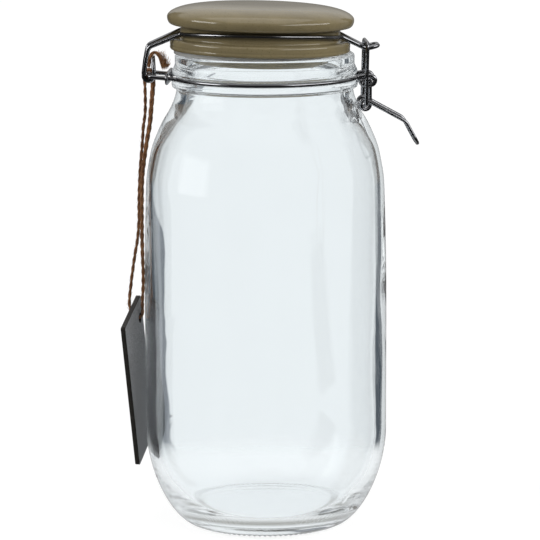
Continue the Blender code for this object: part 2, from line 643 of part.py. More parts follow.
def lid_wire_front():
    """The front half of the lid wire, from its hook's end to the tip of the tongue."""
    right, up = Vector((1.0, 0.0, 0.0)), Vector((0.0, 0.0, 1.0))
    side = Vector((0.0, -HOOK_OFFSET, 0.0))
    bar = HINGE + side
    points = [bar + right * (HOOK_RADIUS - HOOK_RETURN_LEAN) + up * HOOK_RETURN]
    points += arc_points(bar, right, up, (HOOK_RADIUS, HOOK_RADIUS), 0.0, -math.pi, BEND_STEP)

    foot = points.pop()
    rise_share, lean_share = ARM_MID_SHARES
    middle = foot + up * (ARM_RISE * rise_share) + right * (ARM_LEAN * lean_share)
    bend = foot + up * ARM_RISE + right * ARM_LEAN

    angle, corner = ring_exit(LID_RING_RADIUS, LID_STRAND_OFFSET, 1)
    rise = LID_RING_RISE + LID_RING_ARCH * math.sin(angle)
    left_corner = lid_matrix() @ Vector((-corner, -LID_STRAND_OFFSET, rise))
    right_corner = lid_matrix() @ Vector((corner, -LID_STRAND_OFFSET, rise))
    count = math.ceil((math.pi - angle * 2) / RING_STEP)
    ring = []
    for index in range(count + 1):
        turn = math.pi + angle + (math.pi - angle * 2) * index / count
        arch = LID_RING_RISE + LID_RING_ARCH * abs(math.sin(turn))
        ring.append(lid_place(LID_RING_RADIUS, turn, arch))

    valley = TONGUE - Vector((0.0, TONGUE_OFFSET, 0.0))
    tip = TONGUE + Vector((TONGUE_LENGTH, -TONGUE_TIP_OFFSET, TONGUE_TIP_RISE))
    corners = [(foot, 0.0), (middle, ARM_RISE), (bend, ARM_BEND), (left_corner, RING_EXIT_BEND)]
    corners += [(place, 0.0) for place in ring]
    corners += [(right_corner, RING_EXIT_BEND), (valley, TONGUE_BEND), (tip, TONGUE_BEND)]
    corners.append((Vector((tip.x, 0.0, tip.z)), 0.0))
    return points + bent_path(corners)


def build_lid_wire(material, joint):
    """One wire: hook, arm, ring in the lid's groove, tongue, ring, arm, hook."""
    front = lid_wire_front()
    points = front[:-1] + mirrored(front[:-1])
    add_object("lid_wire", wire_curve("lid_wire", points, LID_WIRE_RADIUS), material, joint)


def lever_front():
    """The front half of the lever, from its pivot end to the middle of the grip."""
    arm_top = Vector((PIVOT.x, -LEVER_ARM_OFFSET, PIVOT.z))
    arm_foot = Vector((COIL.x + COIL_RADIUS, -LEVER_ARM_OFFSET, COIL.z))
    start = Vector((PIVOT.x, -EYE_OUTSIDE, PIVOT.z))
    points = bent_path([(start, 0.0), (arm_top, LEVER_BEND), (arm_foot, 0.0)])

    sweep = COIL_TURN + TAIL_DROP
    count = math.ceil(sweep / BEND_STEP)
    for index in range(1, count + 1):
        angle = -sweep * index / count
        offset = LEVER_ARM_OFFSET + COIL_PITCH * index / count
        across = COIL_RADIUS * math.cos(angle)
        points.append(Vector((COIL.x + across, -offset, COIL.z + COIL_RADIUS * math.sin(angle))))

    leave = points.pop()
    tail = Vector((math.cos(TAIL_DROP), 0.0, -math.sin(TAIL_DROP)))
    grip = Vector((math.cos(GRIP_DROP), 0.0, -math.sin(GRIP_DROP)))
    knee = leave + tail * TAIL_LENGTH
    tip = knee + grip * GRIP_LENGTH
    corners = [(leave, 0.0), (knee, TAIL_BEND), (tip, GRIP_CORNER)]
    corners.append((Vector((tip.x, 0.0, tip.z)), 0.0))
    return points + bent_path(corners)


def build_lever(material, joint):
    """One wire: pivot end, arm, coil, tail and grip, and the same back to the other eye."""
    front = lever_front()
    points = front[:-1] + mirrored(front[:-1])
    curve = wire_curve("latch_lever", points, LEVER_WIRE_RADIUS)
    add_object("latch_lever", curve, material, joint)


def build_link(material, joint):
    """The loop that the lever pulls down over the tongue, its feet turned in through the coils."""
    foot_end = LINK_OFFSET - (LINK_OFFSET - LEVER_ARM_OFFSET) * LINK_FOOT_SHARE
    corners = [
        (Vector((COIL.x, -foot_end, COIL.z)), 0.0),
        (Vector((COIL.x, -LINK_OFFSET, COIL.z)), LINK_FOOT_BEND),
        (Vector((LINK_TOP.x, -LINK_OFFSET, LINK_TOP.z)), LINK_TOP_BEND),
        (LINK_TOP.copy(), 0.0),
    ]
    front = bent_path(corners)
    points = front[:-1] + mirrored(front[:-1])
    add_object("latch_link", wire_curve("latch_link", points, LINK_WIRE_RADIUS), material, joint)


def wrap_points():
    """The twine's turns round the hinge bar, with a straight lead to each leg of the loop."""
    lead = TWINE_RADIUS * 2
    points = []
    count = math.ceil(WRAP_TURNS * math.tau / BEND_STEP)
    for index in range(count + 1):
        share = index / count
        angle = math.pi - WRAP_TURNS * math.tau * share
        offset = WRAP_OFFSET - 2 * WRAP_OFFSET * share
        across = WRAP_RADIUS * math.cos(angle)
        points.append(HINGE + Vector((across, offset, WRAP_RADIUS * math.sin(angle))))
    down = Vector((0.0, 0.0, -lead))
    return [points[0] + down] + points + [points[-1] + down]


def least_gap(points, radius):
    """The least clear distance between turns of one tube."""
    near = math.ceil(math.pi * WRAP_RADIUS / (points[2] - points[1]).length)
    gaps = [
        (a - b).length for i, a in enumerate(points) for b in points[i + near:]
    ]
    return min(gaps) - 2 * radius


def build_twine(material):
    """The loop of twine, its turns round the hinge bar and its loose end."""
    loop = smooth_route(TWINE_ROUTE, TWINE_SPACING)
    add_object("twine_cord", wire_curve("twine_cord", loop, TWINE_RADIUS), material)
    turns = wrap_points()
    print("least gap between the twine's turns, in metres:", round(least_gap(turns, TWINE_RADIUS), 5))
    add_object("twine_knot", wire_curve("twine_knot", turns, TWINE_RADIUS), material)
    end = smooth_route(TWINE_END_ROUTE, TWINE_RADIUS)
    add_object("twine_end", wire_curve("twine_end", end, TWINE_RADIUS), material)


def build_tag(material):
    """The bare board that hangs on the twine, with a drilled hole near one corner."""
    turned = Vector((math.sin(TAG_TURN), math.cos(TAG_TURN), 0.0))
    up = Vector((0.0, 0.0, 1.0))
    across = turned * math.cos(TAG_TILT) + up * math.sin(TAG_TILT)
    down = turned * math.sin(TAG_TILT) - up * math.cos(TAG_TILT)
    through = across.cross(down)
    hole = Vector((-BODY_RADIUS - TAG_STANDOFF, 0.0, TAG_HOLE_HEIGHT))
    centre = hole + across * (TAG_HOLE_EDGE - TAG_WIDTH / 2) + down * (TAG_HEIGHT / 2 - TAG_HOLE_DROP)
    axes = Matrix((across, down, through)).transposed().to_4x4()

    mesh = bpy.data.meshes.new("hang_tag")
    board = bmesh.new()
    bmesh.ops.create_cube(board, size=1.0)
    bmesh.ops.scale(board, vec=(TAG_WIDTH, TAG_HEIGHT, TAG_THICKNESS), verts=board.verts)
    board.to_mesh(mesh)
    board.free()
    mesh.transform(Matrix.Translation(centre) @ axes)
    tag = add_object("hang_tag", mesh, material)

    cutter_mesh = bpy.data.meshes.new("tag_hole_cutter")
    drill = bmesh.new()
    bmesh.ops.create_cone(
        drill, cap_ends=True, segments=HOLE_SEGMENTS, radius1=TAG_HOLE_RADIUS,
        radius2=TAG_HOLE_RADIUS, depth=TAG_THICKNESS + 2 * CUT_OVERRUN,
    )
    drill.to_mesh(cutter_mesh)
    drill.free()
    cutter_mesh.transform(Matrix.Translation(hole) @ axes)
    cutter = add_object("tag_hole_cutter", cutter_mesh, material)
    cutter.hide_render = True
    cutter.display_type = "WIRE"
    cut = tag.modifiers.new("hole", "BOOLEAN")
    cut.operation = "DIFFERENCE"
    cut.solver = "EXACT"
    cut.object = cutter


def main():
    """Builds every piece of the jar."""
    clear_scene()
    glass = make_material("clear_glass", GLASS_FINISH, transmission=1.0)
    glaze = make_material("olive_grey_glaze", GLAZE_FINISH)
    silicone = make_material("clear_silicone", SILICONE_FINISH)
    steel = make_material("steel_wire", STEEL_FINISH)
    jute = make_material("jute", JUTE_FINISH)
    board = make_material("chalk_board", BOARD_FINISH)

    hinge = add_joint("lid_hinge_axis", HINGE)
    lever = add_joint("latch_lever_axis", PIVOT)
    link = add_joint("latch_link_axis", COIL, lever)

    build_jar(glass)
    build_neck_wire(steel)
    build_ferrule(steel)
    build_lid(glaze, hinge)
    build_seal(silicone, hinge)
    build_lid_wire(steel, hinge)
    build_lever(steel, lever)
    build_link(steel, link)
    build_twine(jute)
    build_tag(board)


main()
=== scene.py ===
"""Glass storage jar with a glazed lid, a wire hinge and clasp, and a bare tag on twine.

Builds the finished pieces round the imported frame, in its own place and in metres. The jar
stands on z = 0 with its axis on Z, the hinge on the -X side and the clasp on the +X side.
"""
import json
import math
import random

import bmesh
import bpy
from bpy.props import FloatProperty, FloatVectorProperty, IntProperty, PointerProperty
from mathutils import Matrix, Vector, noise


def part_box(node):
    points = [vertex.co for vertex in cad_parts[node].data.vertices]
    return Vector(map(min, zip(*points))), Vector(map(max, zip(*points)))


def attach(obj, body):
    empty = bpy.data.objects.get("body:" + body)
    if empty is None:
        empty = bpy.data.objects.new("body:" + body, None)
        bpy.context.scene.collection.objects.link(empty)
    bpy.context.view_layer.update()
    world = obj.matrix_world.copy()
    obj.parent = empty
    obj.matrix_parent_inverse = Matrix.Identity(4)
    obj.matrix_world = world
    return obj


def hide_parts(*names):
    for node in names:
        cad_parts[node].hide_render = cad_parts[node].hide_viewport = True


bl_info = {
    "name": "Glass Storage Jar",
    "version": (1, 0, 0),
    "blender": (4, 5, 0),
    "location": "3D View > Sidebar > Storage Jar",
    "description": "Builds a clear glass storage jar with a glazed lid and a wire clasp",
    "category": "Object",
}

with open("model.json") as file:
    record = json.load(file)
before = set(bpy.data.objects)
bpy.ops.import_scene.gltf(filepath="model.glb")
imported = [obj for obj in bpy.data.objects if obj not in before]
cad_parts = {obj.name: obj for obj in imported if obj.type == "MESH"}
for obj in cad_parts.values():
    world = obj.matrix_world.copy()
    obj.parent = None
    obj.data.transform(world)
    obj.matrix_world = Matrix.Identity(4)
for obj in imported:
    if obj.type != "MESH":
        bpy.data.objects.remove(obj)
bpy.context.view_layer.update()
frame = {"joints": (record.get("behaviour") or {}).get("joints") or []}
JAR_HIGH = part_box("jar")[1]

UP = Vector((0.0, 0.0, 1.0))
RIGHT = Vector((1.0, 0.0, 0.0))

# Clearances
SEAT_GAP = 0.0003
SIDE_GAP = 0.00045
COIL_EASE = 0.0005
LATCH_EASE = 0.00105

# Glass jar
JAR_HEIGHT = JAR_HIGH.z
BODY_RADIUS = JAR_HIGH.x
BODY_DRAW_IN = 0.00105
FOOT_RADIUS = 0.0405
FOOT_CORNER = 0.0007
FOOT_EDGE = (0.0016, 0.0005)  # out and up to where the foot's curve takes over
FOOT_RISE = 0.048
WALL = 0.0032
WALL_SWELL = 0.0019          # the glass is thicker than that between foot and shoulder
SWELL_TOP = 0.012            # the swelling starts this far above the shoulder's foot
SWELL_FADE = 0.100           # and is full this far below its start
FLOOR_THICKNESS = 0.0075
FLOOR_RADIUS = 0.036
SHOULDER_RISE = 0.054
NECK_RADIUS = 0.0452
NECK_WALL = 0.005
NECK_FLARE = 0.00005
NECK_RUN = 0.0012
NECK_INSIDE_RUN = 0.004
INSIDE_EASE = 0.0003         # the inside widens by this much below the shoulder's foot
INSIDE_RUN = 0.012
GROOVE_DROP = 0.0119
GROOVE_EASE = 0.0005
LOWER_BEAD_PROUD = 0.0023
LOWER_BEAD_HEIGHT = 0.0033
LOWER_BEAD_BENDS = (0.0006, 0.0012, 0.0012, 0.0005)
UPPER_BEAD_PROUD = 0.002
UPPER_BEAD_HEIGHT = 0.0021
UPPER_BEAD_BENDS = (0.0004, 0.0008, 0.0008)
UNDERCUT_HEIGHT = 0.0026
UNDERCUT_BEND = 0.001
GROOVE_BEND = 0.0007
COLLAR_HEIGHT = 0.0028
COLLAR_BEND = 0.003
RIM_PROUD = 0.0006
RIM_ROUNDING = 0.0013
BASE_RECESS = 0.00025        # the middle of the base is hollowed by this much
RECESS_START = 0.0200
BEARING_INSIDE = 0.0368      # where the ring that the jar stands on starts
BEARING_RADII = (0.0376, 0.0382, 0.0390, 0.0397)  # and its rows of points
KNURL_COUNT = 96
KNURL_DEPTH = 0.0007
KNURL_RADIUS = 0.0402
KNURL_WIDTH = 0.0044
KNURL_HEIGHT = 0.003
MARK_ANGLE = math.radians(-38.0)
MARK_HEIGHT = 0.0135
MARK_SIZE = (0.0010, 0.0026)  # half width and half height of the oval mould mark
MARK_PROUD = 0.00035
RIPPLE_SCALES = (26.0, 26.0, 9.0)
RIPPLE_FINER = 3.1

# Ceramic lid, measured from the rim's top along the lid's own axis
LID_SHIFT = 0.00243
LID_LEAN = math.radians(1.47)
LIP_PROUD = 0.0001
LIP_WIDTH = 0.0017
LIP_FOOT = 0.0015
LIP_BEND = 0.0009
SEAT_RISE = 0.003
SEAT_BEND = 0.0003
FLANGE_RISE = 0.0072
FLANGE_FILLET = 0.0018
FLANGE_ROUNDING = 0.0029
NOTCH_DEPTH = 0.00012
NOTCH_HEIGHT = 0.0012
NOTCH_BEND = 0.001
WIRE_GROOVE_DEPTH = 0.0052
WIRE_GROOVE_HEIGHT = 0.007
DISC_OVERHANG = 0.0017
DISC_EDGE_HEIGHT = 0.0037
DISC_EDGE_WIDTH = 0.0023
DOME_HEIGHT = 0.0072
PLUG_GAP = 0.0013
PLUG_DEPTH = 0.0049
PLUG_TAPER = 0.0015
PLUG_BEND = 0.001
RECESS_DEPTH = 0.0025
RECESS_BEND = 0.0012
RECESS_SHARE = 0.75
SEAL_BEND = 0.0004

# Wires
NECK_WIRE_RADIUS = 0.0011
LID_WIRE_RADIUS = 0.00115
LEVER_WIRE_RADIUS = 0.00095
LINK_WIRE_RADIUS = 0.001
FERRULE_WIRE_RADIUS = 0.0008
HINGE_REACH = 0.0125
HINGE_RISE = 0.0015
HINGE_STRAND_OFFSET = 0.0124
HINGE_BEND = 0.0022
RING_EXIT_TURN = math.radians(5.0)
RING_EXIT_BEND = 0.002
FERRULE_REACH = 0.0022
FERRULE_YAW = math.radians(6.0)
LEVER_ARM_OFFSET = 0.00685
CURL_RISE = 0.0008
LEVER_BEND = 0.0015
COIL_PITCH = 0.0025
COIL_TURN = math.radians(270.0)
TAIL_DROP = math.radians(28.7)
TAIL_LENGTH = 0.0222
TAIL_BEND = 0.006
GRIP_DROP = math.radians(61.9)
GRIP_LENGTH = 0.01315
GRIP_CORNER = 0.004
LINK_FOOT_SHARE = 0.75
LINK_FOOT_BEND = 0.0018
LINK_TOP_BEND = 0.0025
LATCH_LEAN = 0.0019
LATCH_SET = 0.00025
HOOK_OFFSET = 0.0075
HOOK_RETURN = 0.0088
HOOK_RETURN_LEAN = 0.0004
ARM_RISE = 0.0144
ARM_LEAN = 0.0024
ARM_MID_SHARES = (0.5, 0.4)
ARM_BEND = 0.0035
LID_STRAND_OFFSET = 0.0125
LID_RING_SEAT = 0.0004
LID_RING_ARCH = 0.0033
TONGUE_RISE = 0.00235
TONGUE_OFFSET = 0.0062
TONGUE_LENGTH = 0.006
TONGUE_TIP_RISE = 0.0014
TONGUE_TIP_OFFSET = 0.0058
TONGUE_BEND = 0.003

# Twine
TWINE_RADIUS = 0.0009
WRAP_OFFSET = 0.0024
WRAP_TURNS = 1.5
PLY_SHARE = 0.68             # a ply's radius, as a share of the twine's
EVEN_SHARE = 0.97            # what a ply's even part, its ridges and its lumps add to its radius
RIDGE_SHARE = 0.07
LUMP_SHARE = 0.13
STRAND_RIDGES = 5
RIDGE_TWIST = 2600.0         # radians a metre
LUMP_SCALES = (210.0, 60.0)
LUMP_STEPS = (9.0, 20.0)     # how far apart the noise of two plies and of two scales lies
TWINE_SEEDS = (0.0, 3.0, 5.0)
LOOP_BULK_SHARES = (         # more thickness, from and up to which share of the loop
    (0.38, 0.52, 0.8), (0.25, 0.82, 0.97),
)
FIBRE_SEED = 11
HAIR_RADIUS = 0.000035
HAIR_ROOT_SHARE = 0.8
HAIR_LENGTHS = (0.0007, 0.0022)
HAIR_LIFT = 0.5
HAIR_BENDS = (0.2, 1.2)
HAIR_STRAY = 0.7
TUFT_FIBRES = 360
TUFT_CROWDING = 0.6          # under one, more fibres leave near the tip
TUFT_ROOT_SHARES = (0.2, 1.0)
TUFT_LEAD = 0.011            # how far a fibre follows the loose end before it leaves it
TUFT_LEAD_SHARES = (0.3, 1.0)
TUFT_STRIDE = 4
TUFT_LOOSE_SHARES = (0.6, 0.5)
TUFT_JITTER = 0.00015
TUFT_LENGTHS = (0.0030, 0.0062)
TUFT_OUT = (0.35, 0.65)      # how far out a fibre goes, and how much more when it leans
TUFT_STRAY = 0.3
TUFT_FIRST = (0.25, 0.35)    # a fibre's first run: aside, and out for its lean
TUFT_RUNS = (                # its next runs: up for its lean, up, out and aside
    (0.6, -0.75, 0.8, 0.2), (0.25, -0.1, 0.9, 0.3),
)
TUFT_LAST = (0.8, 0.35)      # and its last run: up and aside
TUFT_CURLS = (-0.3, 0.5)
TUFT_THICKNESSES = (1.3, 2.2)

# Tag
TAG_WIDTH = 0.035
TAG_HEIGHT = 0.082
TAG_THICKNESS = 0.0025
TAG_TURN = math.radians(14.3)
TAG_TILT = math.radians(19.0)
TAG_STANDOFF = 0.0037
TAG_HOLE_HEIGHT = 0.1069
TAG_HOLE_RADIUS = 0.0027
TAG_HOLE_EDGE = 0.0055
TAG_HOLE_DROP = 0.0105
TAG_BEVEL = 0.00025
TAG_BEVEL_STEPS = 2
TAG_SHARP = math.radians(50.0)
TAG_CORNER = 0.0006

# Camera, a little to the hinge's side of the middle and above the jar
CAMERA_DISTANCE = 1.44
CAMERA_HEIGHT = 0.385
CAMERA_SIDE = 0.0023
CAMERA_PITCH = math.radians(10.0)
CAMERA_HEADING = math.radians(2.7)
CAMERA_ROLL = math.radians(0.22)
CAMERA_LENS = 188.8
CAMERA_SENSOR = 36.0
CAMERA_NEAR = 0.05

# Floor and lights; azimuths are degrees from the camera's side towards +X
FLOOR_DROP = 0.0002
LIGHT_DISTANCE = 0.9
LIGHTS = {
    "left_light": (-77.0, 27.0, (0.53, 0.37)),
    "left_glow": (-77.0, 12.0, (0.53, 0.37)),
    "right_light": (60.0, 30.0, (1.05, 0.34)),
    "top_light": (0.0, 90.0, (0.9, 0.9)),
}
BOUNCES = 96                 # rays run round inside the glass wall

# What clear glass shows of the surroundings: dark strips at both sides and a grey one on the left.
# Strips are in degrees to the right of straight behind the jar, and each fades out downwards
# between the two elevations of its end.
THROUGH_LIGHT = (0.93, 0.965, 0.98)
THROUGH_DARK = (0.06, 0.08, 0.10)
THROUGH_GREY = (0.28, 0.30, 0.33)
THROUGH_HAZE = (0.145, 0.130, 0.115)
STRIP_SOFTNESS = 1.2
LEFT_STRIP = (-72.0, -17.0)
LEFT_SPREAD = 1.6            # how fast the left strip widens upwards
LEFT_START = -8.2
LEFT_HEIGHT = 3.2            # the widening stops this far above its start
LEFT_END = (-36.0, -27.0)
RIGHT_STRIP = (29.0, 44.0)
RIGHT_END = (-20.0, -15.0)
GREY_STRIP = (-60.0, -19.0)
GREY_SOFTNESS = 0.5
GREY_SPREAD = 3.2            # how fast the grey strip widens towards the floor
GREY_START = -9.0
GREY_DEPTH = -3.8            # the widening stops this far below its start
GREY_END = (-17.5, -15.0)
HAZE_START = (-6.0, -2.0)    # the dark strips turn to haze between these elevations
HAZE_END = (22.0, 32.0)      # and end between these

# The surroundings as the camera, dull pieces and shiny pieces see them
CAMERA_WHITE = (1.03, 1.03, 1.03)
DULL_LIGHT = (0.25, 0.25, 0.25)
BEHIND_DEPTHS = (-0.2, 0.9)  # from the camera's side to the far side, the light rises
BEHIND_LIGHTS = (0.06, 0.62)
BEHIND_RISES = (0.0, 0.3)    # and it falls to a share of that from here down to the horizon
BEHIND_LOW_SHARE = 0.32
STRIP_SHINE_SHARE = 0.12     # and to this share in the dark strips
OVER_RISES = (0.35, 0.85)
OVER_LIGHT = 0.26            # what comes from overhead

# The floor's glow for the camera, for other rays, and through the glass away from the foot and
# under it, where a contact shadow is painted into the glow
FLOOR_SEEN = (0.85, 0.85, 0.85)
FLOOR_GLOW = (0.2, 0.2, 0.2)
FLOOR_THROUGH = (0.80, 0.83, 0.845)
# painted shadow: the darker glow that the glass shows in a ring round where the jar stands
FLOOR_PAINTED_SHADOW = (0.34, 0.34, 0.32)
FLOOR_FADE = (0.10, 0.20)    # radii between which the floor melts away
# where the painted contact shadow lies: the radius and width of its ring
PAINTED_SHADOW_RADIUS = 0.0392
PAINTED_SHADOW_WIDTH = 0.006
PAINTED_SHADOW_BACK = (-0.012, 0.006)  # the painted contact shadow fades out towards the back

# Finishes; a range gives start and end, and a longer one also what each of them turns into
STREAK_FADE = (0.3, 0.7)
PATCH_NOISE = {"Scale": 0.23, "Detail": 2.0}
PATCH_FADE = (0.35, 0.65)
CLOUD_NOISE = {"Detail": 4.0, "Roughness": 0.6}
CLOUD_FADE = (0.3, 0.7)
SPECK_EDGE = (0.0, 0.12)
SPECK_FADE = (0.45, 0.6)
GRAIN_DETAIL = 2.0
MIX_SOCKETS = (6, 7)         # where a mix node takes its two colours
GLASS_IOR = 1.5
GLASS_WAVES = {"Scale": 38.0, "Detail": 1.0}
GLASS_DIM_SHARE = 0.985
GLASS_SMEARS = {"Scale": 90.0, "Detail": 3.0}
GLASS_ROUGHNESS = (0.5, 0.8, 0.0, 0.012)
GLASS_BUMP = (0.0004, 0.25)
SEAL_CLEAR_SHARE = 0.55
SEAL_IOR = 1.41
SEAL_SPECKS = {"Cloud Scale": 160.0, "Speck Scale": 1500.0}
SEAL_DIM_SHARE = 0.93
SEAL_ROUGHNESS = (0.0, 1.0, 0.28, 0.42)
SEAL_BUMP = 0.00002
GLAZE_SPECKS = {"Cloud Scale": 55.0, "Speck Scale": 1100.0, "Speck Size": 0.34}
GLAZE_DIM_SHARE = 0.82
GLAZE_ROUGHNESS = (0.0, 1.0, 0.09, 0.14)
GLAZE_BUMP = (0.0002, 0.35)
STEEL_MARKS = {"Around": 9.0, "Along": 90.0, "Detail": 4.0}
STEEL_MARK_SHARES = {"Streaks": 0.35, "Patches": 0.25}
STEEL_ROUGHNESS = (0.0, 1.0, 0.15, 0.26)
STEEL_BUMP = 0.000002
JUTE_MARKS = {"Around": 7.0, "Along": 420.0, "Detail": 3.0}
JUTE_PATCHES = (0.0, 1.0, 0.45, 1.0)
JUTE_ROUGHNESS = (0.0, 1.0, 0.95, 0.7)
JUTE_SHEEN = 0.15
JUTE_BUMP = 0.00012
BOARD_SPECKS = {"Cloud Scale": 70.0, "Speck Scale": 1300.0, "Speck Size": 0.55}
BOARD_FACING = (0.75, 0.97)  # how squarely a point faces out where edge turns to face
BOARD_GRAIN = (0.62, 0.38)
BOARD_PIT_SHARE = 0.3
BOARD_CLOUD_SHARE = 0.35
BOARD_CLOUD_DIM_SHARE = 0.8
# painted shade: the board grows darker towards its lower end, between these heights, to this share
# of its colour
BOARD_PAINTED_SHADE = (0.045, 0.105, 0.95, 0.0)
BOARD_PAINTED_SHADE_SHARE = 0.5
BOARD_ROUGHNESS = (0.3, 0.7, 0.75, 0.95)
BOARD_SHEEN = 0.5
BOARD_SHEEN_ROUGHNESS = 0.4
BOARD_BUMP = 0.00006
FLOOR_SPECKS = {"Cloud Scale": 6.0, "Speck Scale": 500.0}
FLOOR_DIM_SHARE = 0.99
FLOOR_ROUGHNESS = 0.9

# Resolution
JAR_SEGMENTS = KNURL_COUNT * 4
BASE_STEPS = 40
FOOT_STEPS = 40
FOOT_INSIDE_STEPS = 34
BODY_STEPS = 8
SHOULDER_STEPS = 6
WALL_STEPS = 44
LID_SEGMENTS = 256
DOME_STEPS = 40
EDGE_STEPS = 12
HEEL_STEPS = 8
WIRE_SIDES = 20
PLY_SIDES = 14
HAIR_SIDES = 3
HAIR_STEPS = 3
TUFT_STEPS = 2
FLOOR_SEGMENTS = 128
ROUTE_STEPS = 12
TWINE_STEP = 0.00045
TAG_STEP = 0.0012
RING_STEP = math.radians(2.5)
BEND_STEP = math.radians(8.0)
RUN_SHARE = 0.49             # of a straight run, the most that one bend may take up
STEEP = 0.8                  # a line this close to upright is framed from the X axis
SMALL = 1e-6

# Shares of an outline's widths and heights; where they stand in pairs, one share of each
SHOULDER_SHARES = (
    (0.18, 0.03), (0.33, 0.11), (0.48, 0.22), (0.61, 0.39),
    (0.72, 0.565), (0.83, 0.785), (0.93, 0.93),
)
LOWER_BEAD_SHARES = ((0.85, 0.0), (1.0, 0.3), (1.0, 0.7), (0.75, 1.0))
UPPER_BEAD_SHARES = ((0.7, 0.0), (1.0, 0.35), (1.0, 0.9))
UNDERCUT_SHARE = 0.4
GROOVE_FLAT_SHARE = 0.75
HEEL_SHARES = (0.3, 0.72)
HEEL_ROUNDING_SHARES = (0.3, 0.22)
GROOVE_FOOT_SHARE = 0.3
NOTCH_SHARES = ((0.0, 1.0), (1.0, 0.4), (0.0, -0.2))
LIP_FOOT_SHARES = (0.3, 0.7)
PLUG_END_SHARES = ((0.6, 0.75), (1.4, 1.0))
FLOOR_SHARES = (0.98, 0.94, 0.8, 0.5, 0.0)

# A wire's rounded end and the least distance between its points, as shares of its radius
END_INSET_SHARE = 0.3
END_RADIUS_SHARE = 0.7
CLOSE_SHARE = 0.05

# Powers that bend the curves of foot and dome
FOOT_POWERS = (1.5, 1.8)
FOOT_STEP_POWER = 1.6
DOME_POWERS = (0.5, 1.04)

# Places worked out from the sizes above
MOUTH_RADIUS = NECK_RADIUS - NECK_WALL
GROOVE_HEIGHT = JAR_HEIGHT - GROOVE_DROP
GROOVE_HALF = NECK_WIRE_RADIUS + GROOVE_EASE
NECK_FOOT = GROOVE_HEIGHT - GROOVE_HALF - LOWER_BEAD_HEIGHT - UNDERCUT_HEIGHT
SHOULDER_FOOT = NECK_FOOT - SHOULDER_RISE
SHOULDER_RADIUS = BODY_RADIUS - BODY_DRAW_IN
LOWER_BEAD_RADIUS = NECK_RADIUS + LOWER_BEAD_PROUD
RIM_RADIUS = NECK_RADIUS + RIM_PROUD
LIP_RADIUS = RIM_RADIUS + LIP_PROUD
DISC_RADIUS = LIP_RADIUS + DISC_OVERHANG
PLUG_RADIUS = MOUTH_RADIUS - LID_SHIFT - PLUG_GAP
CORE_RADIUS = LIP_RADIUS - WIRE_GROOVE_DEPTH
DISC_UNDERSIDE = FLANGE_RISE + WIRE_GROOVE_HEIGHT
DISC_EDGE_RISE = DISC_UNDERSIDE + DISC_EDGE_HEIGHT
RING_RADIUS = NECK_RADIUS + SEAT_GAP + NECK_WIRE_RADIUS
HINGE = Vector((-RING_RADIUS - HINGE_REACH, 0.0, GROOVE_HEIGHT + HINGE_RISE))
EYE_RADIUS = LEVER_WIRE_RADIUS + SEAT_GAP + NECK_WIRE_RADIUS
EYE_OFFSET = LEVER_ARM_OFFSET + LEVER_WIRE_RADIUS + SIDE_GAP + NECK_WIRE_RADIUS
EYE_OUTSIDE = EYE_OFFSET + NECK_WIRE_RADIUS
EYE_BACK = math.sqrt((LOWER_BEAD_RADIUS + SEAT_GAP) ** 2 - (EYE_OFFSET - NECK_WIRE_RADIUS) ** 2)
EYE_BACK += EYE_RADIUS + NECK_WIRE_RADIUS
COIL_RADIUS = LINK_WIRE_RADIUS + COIL_EASE + LEVER_WIRE_RADIUS
LEVER_JOINT, LINK_JOINT = (
    next(joint for joint in frame["joints"] if joint["name"] == name)
    for name in ("latch_lever_hinge", "latch_link_hinge")
)
PIVOT = Vector(LEVER_JOINT["pos_m"])
COIL = Vector(LINK_JOINT["pos_m"])
TAIL_OFFSET = LEVER_ARM_OFFSET + COIL_PITCH
LINK_INSIDE = max(EYE_OUTSIDE, TAIL_OFFSET + LEVER_WIRE_RADIUS) + SEAT_GAP
LINK_OFFSET = LINK_INSIDE + LINK_WIRE_RADIUS
TONGUE = Vector((PIVOT.x - LATCH_LEAN, 0.0, JAR_HEIGHT + TONGUE_RISE))
LINK_TOP = TONGUE + Vector((LATCH_SET, 0.0, LID_WIRE_RADIUS + LINK_WIRE_RADIUS + LATCH_EASE))
HOOK_RADIUS = NECK_WIRE_RADIUS + SEAT_GAP + LID_WIRE_RADIUS
LID_RING_RADIUS = CORE_RADIUS + SEAT_GAP + LID_WIRE_RADIUS
LID_RING_RISE = FLANGE_RISE + LID_RING_SEAT + LID_WIRE_RADIUS
WRAP_RADIUS = NECK_WIRE_RADIUS + SEAT_GAP + TWINE_RADIUS

# Route of the twine's loop: down one leg, through the tag's hole and up the other
TWINE_ROUTE = (
    (-0.0614, 0.0024, 0.2309), (-0.0611, 0.0024, 0.2275), (-0.0610, 0.0023, 0.2200),
    (-0.0612, 0.0022, 0.2130), (-0.0622, 0.0021, 0.2050), (-0.0630, 0.0020, 0.1950),
    (-0.0641, 0.0020, 0.1836), (-0.0648, 0.0020, 0.1690), (-0.0651, 0.0021, 0.1550),
    (-0.0661, 0.0022, 0.1460), (-0.0677, 0.0023, 0.1368), (-0.0691, 0.0024, 0.1270),
    (-0.0701, 0.0025, 0.1190), (-0.0704, 0.0024, 0.1140), (-0.0699, 0.0019, 0.1103),
    (-0.0687, 0.0011, 0.1082), (-0.0673, 0.0005, 0.1073), (-0.0661, 0.0001, 0.1071),
    (-0.0649, -0.0002, 0.1074), (-0.0639, -0.0013, 0.1087), (-0.0637, -0.0034, 0.1111),
    (-0.0637, -0.0053, 0.1142), (-0.0636, -0.0070, 0.1185), (-0.0632, -0.0080, 0.1255),
    (-0.0632, -0.0076, 0.1340),
    (-0.0634, -0.0060, 0.1430), (-0.0635, -0.0044, 0.1540), (-0.0634, -0.0032, 0.1670),
    (-0.0631, -0.0027, 0.1790), (-0.0622, -0.0025, 0.1875), (-0.0612, -0.0024, 0.1944),
    (-0.0602, -0.0024, 0.2005), (-0.0591, -0.0024, 0.2065), (-0.0583, -0.0024, 0.2130),
    (-0.0578, -0.0024, 0.2190), (-0.0572, -0.0024, 0.2255), (-0.0568, -0.0024, 0.2309),
)

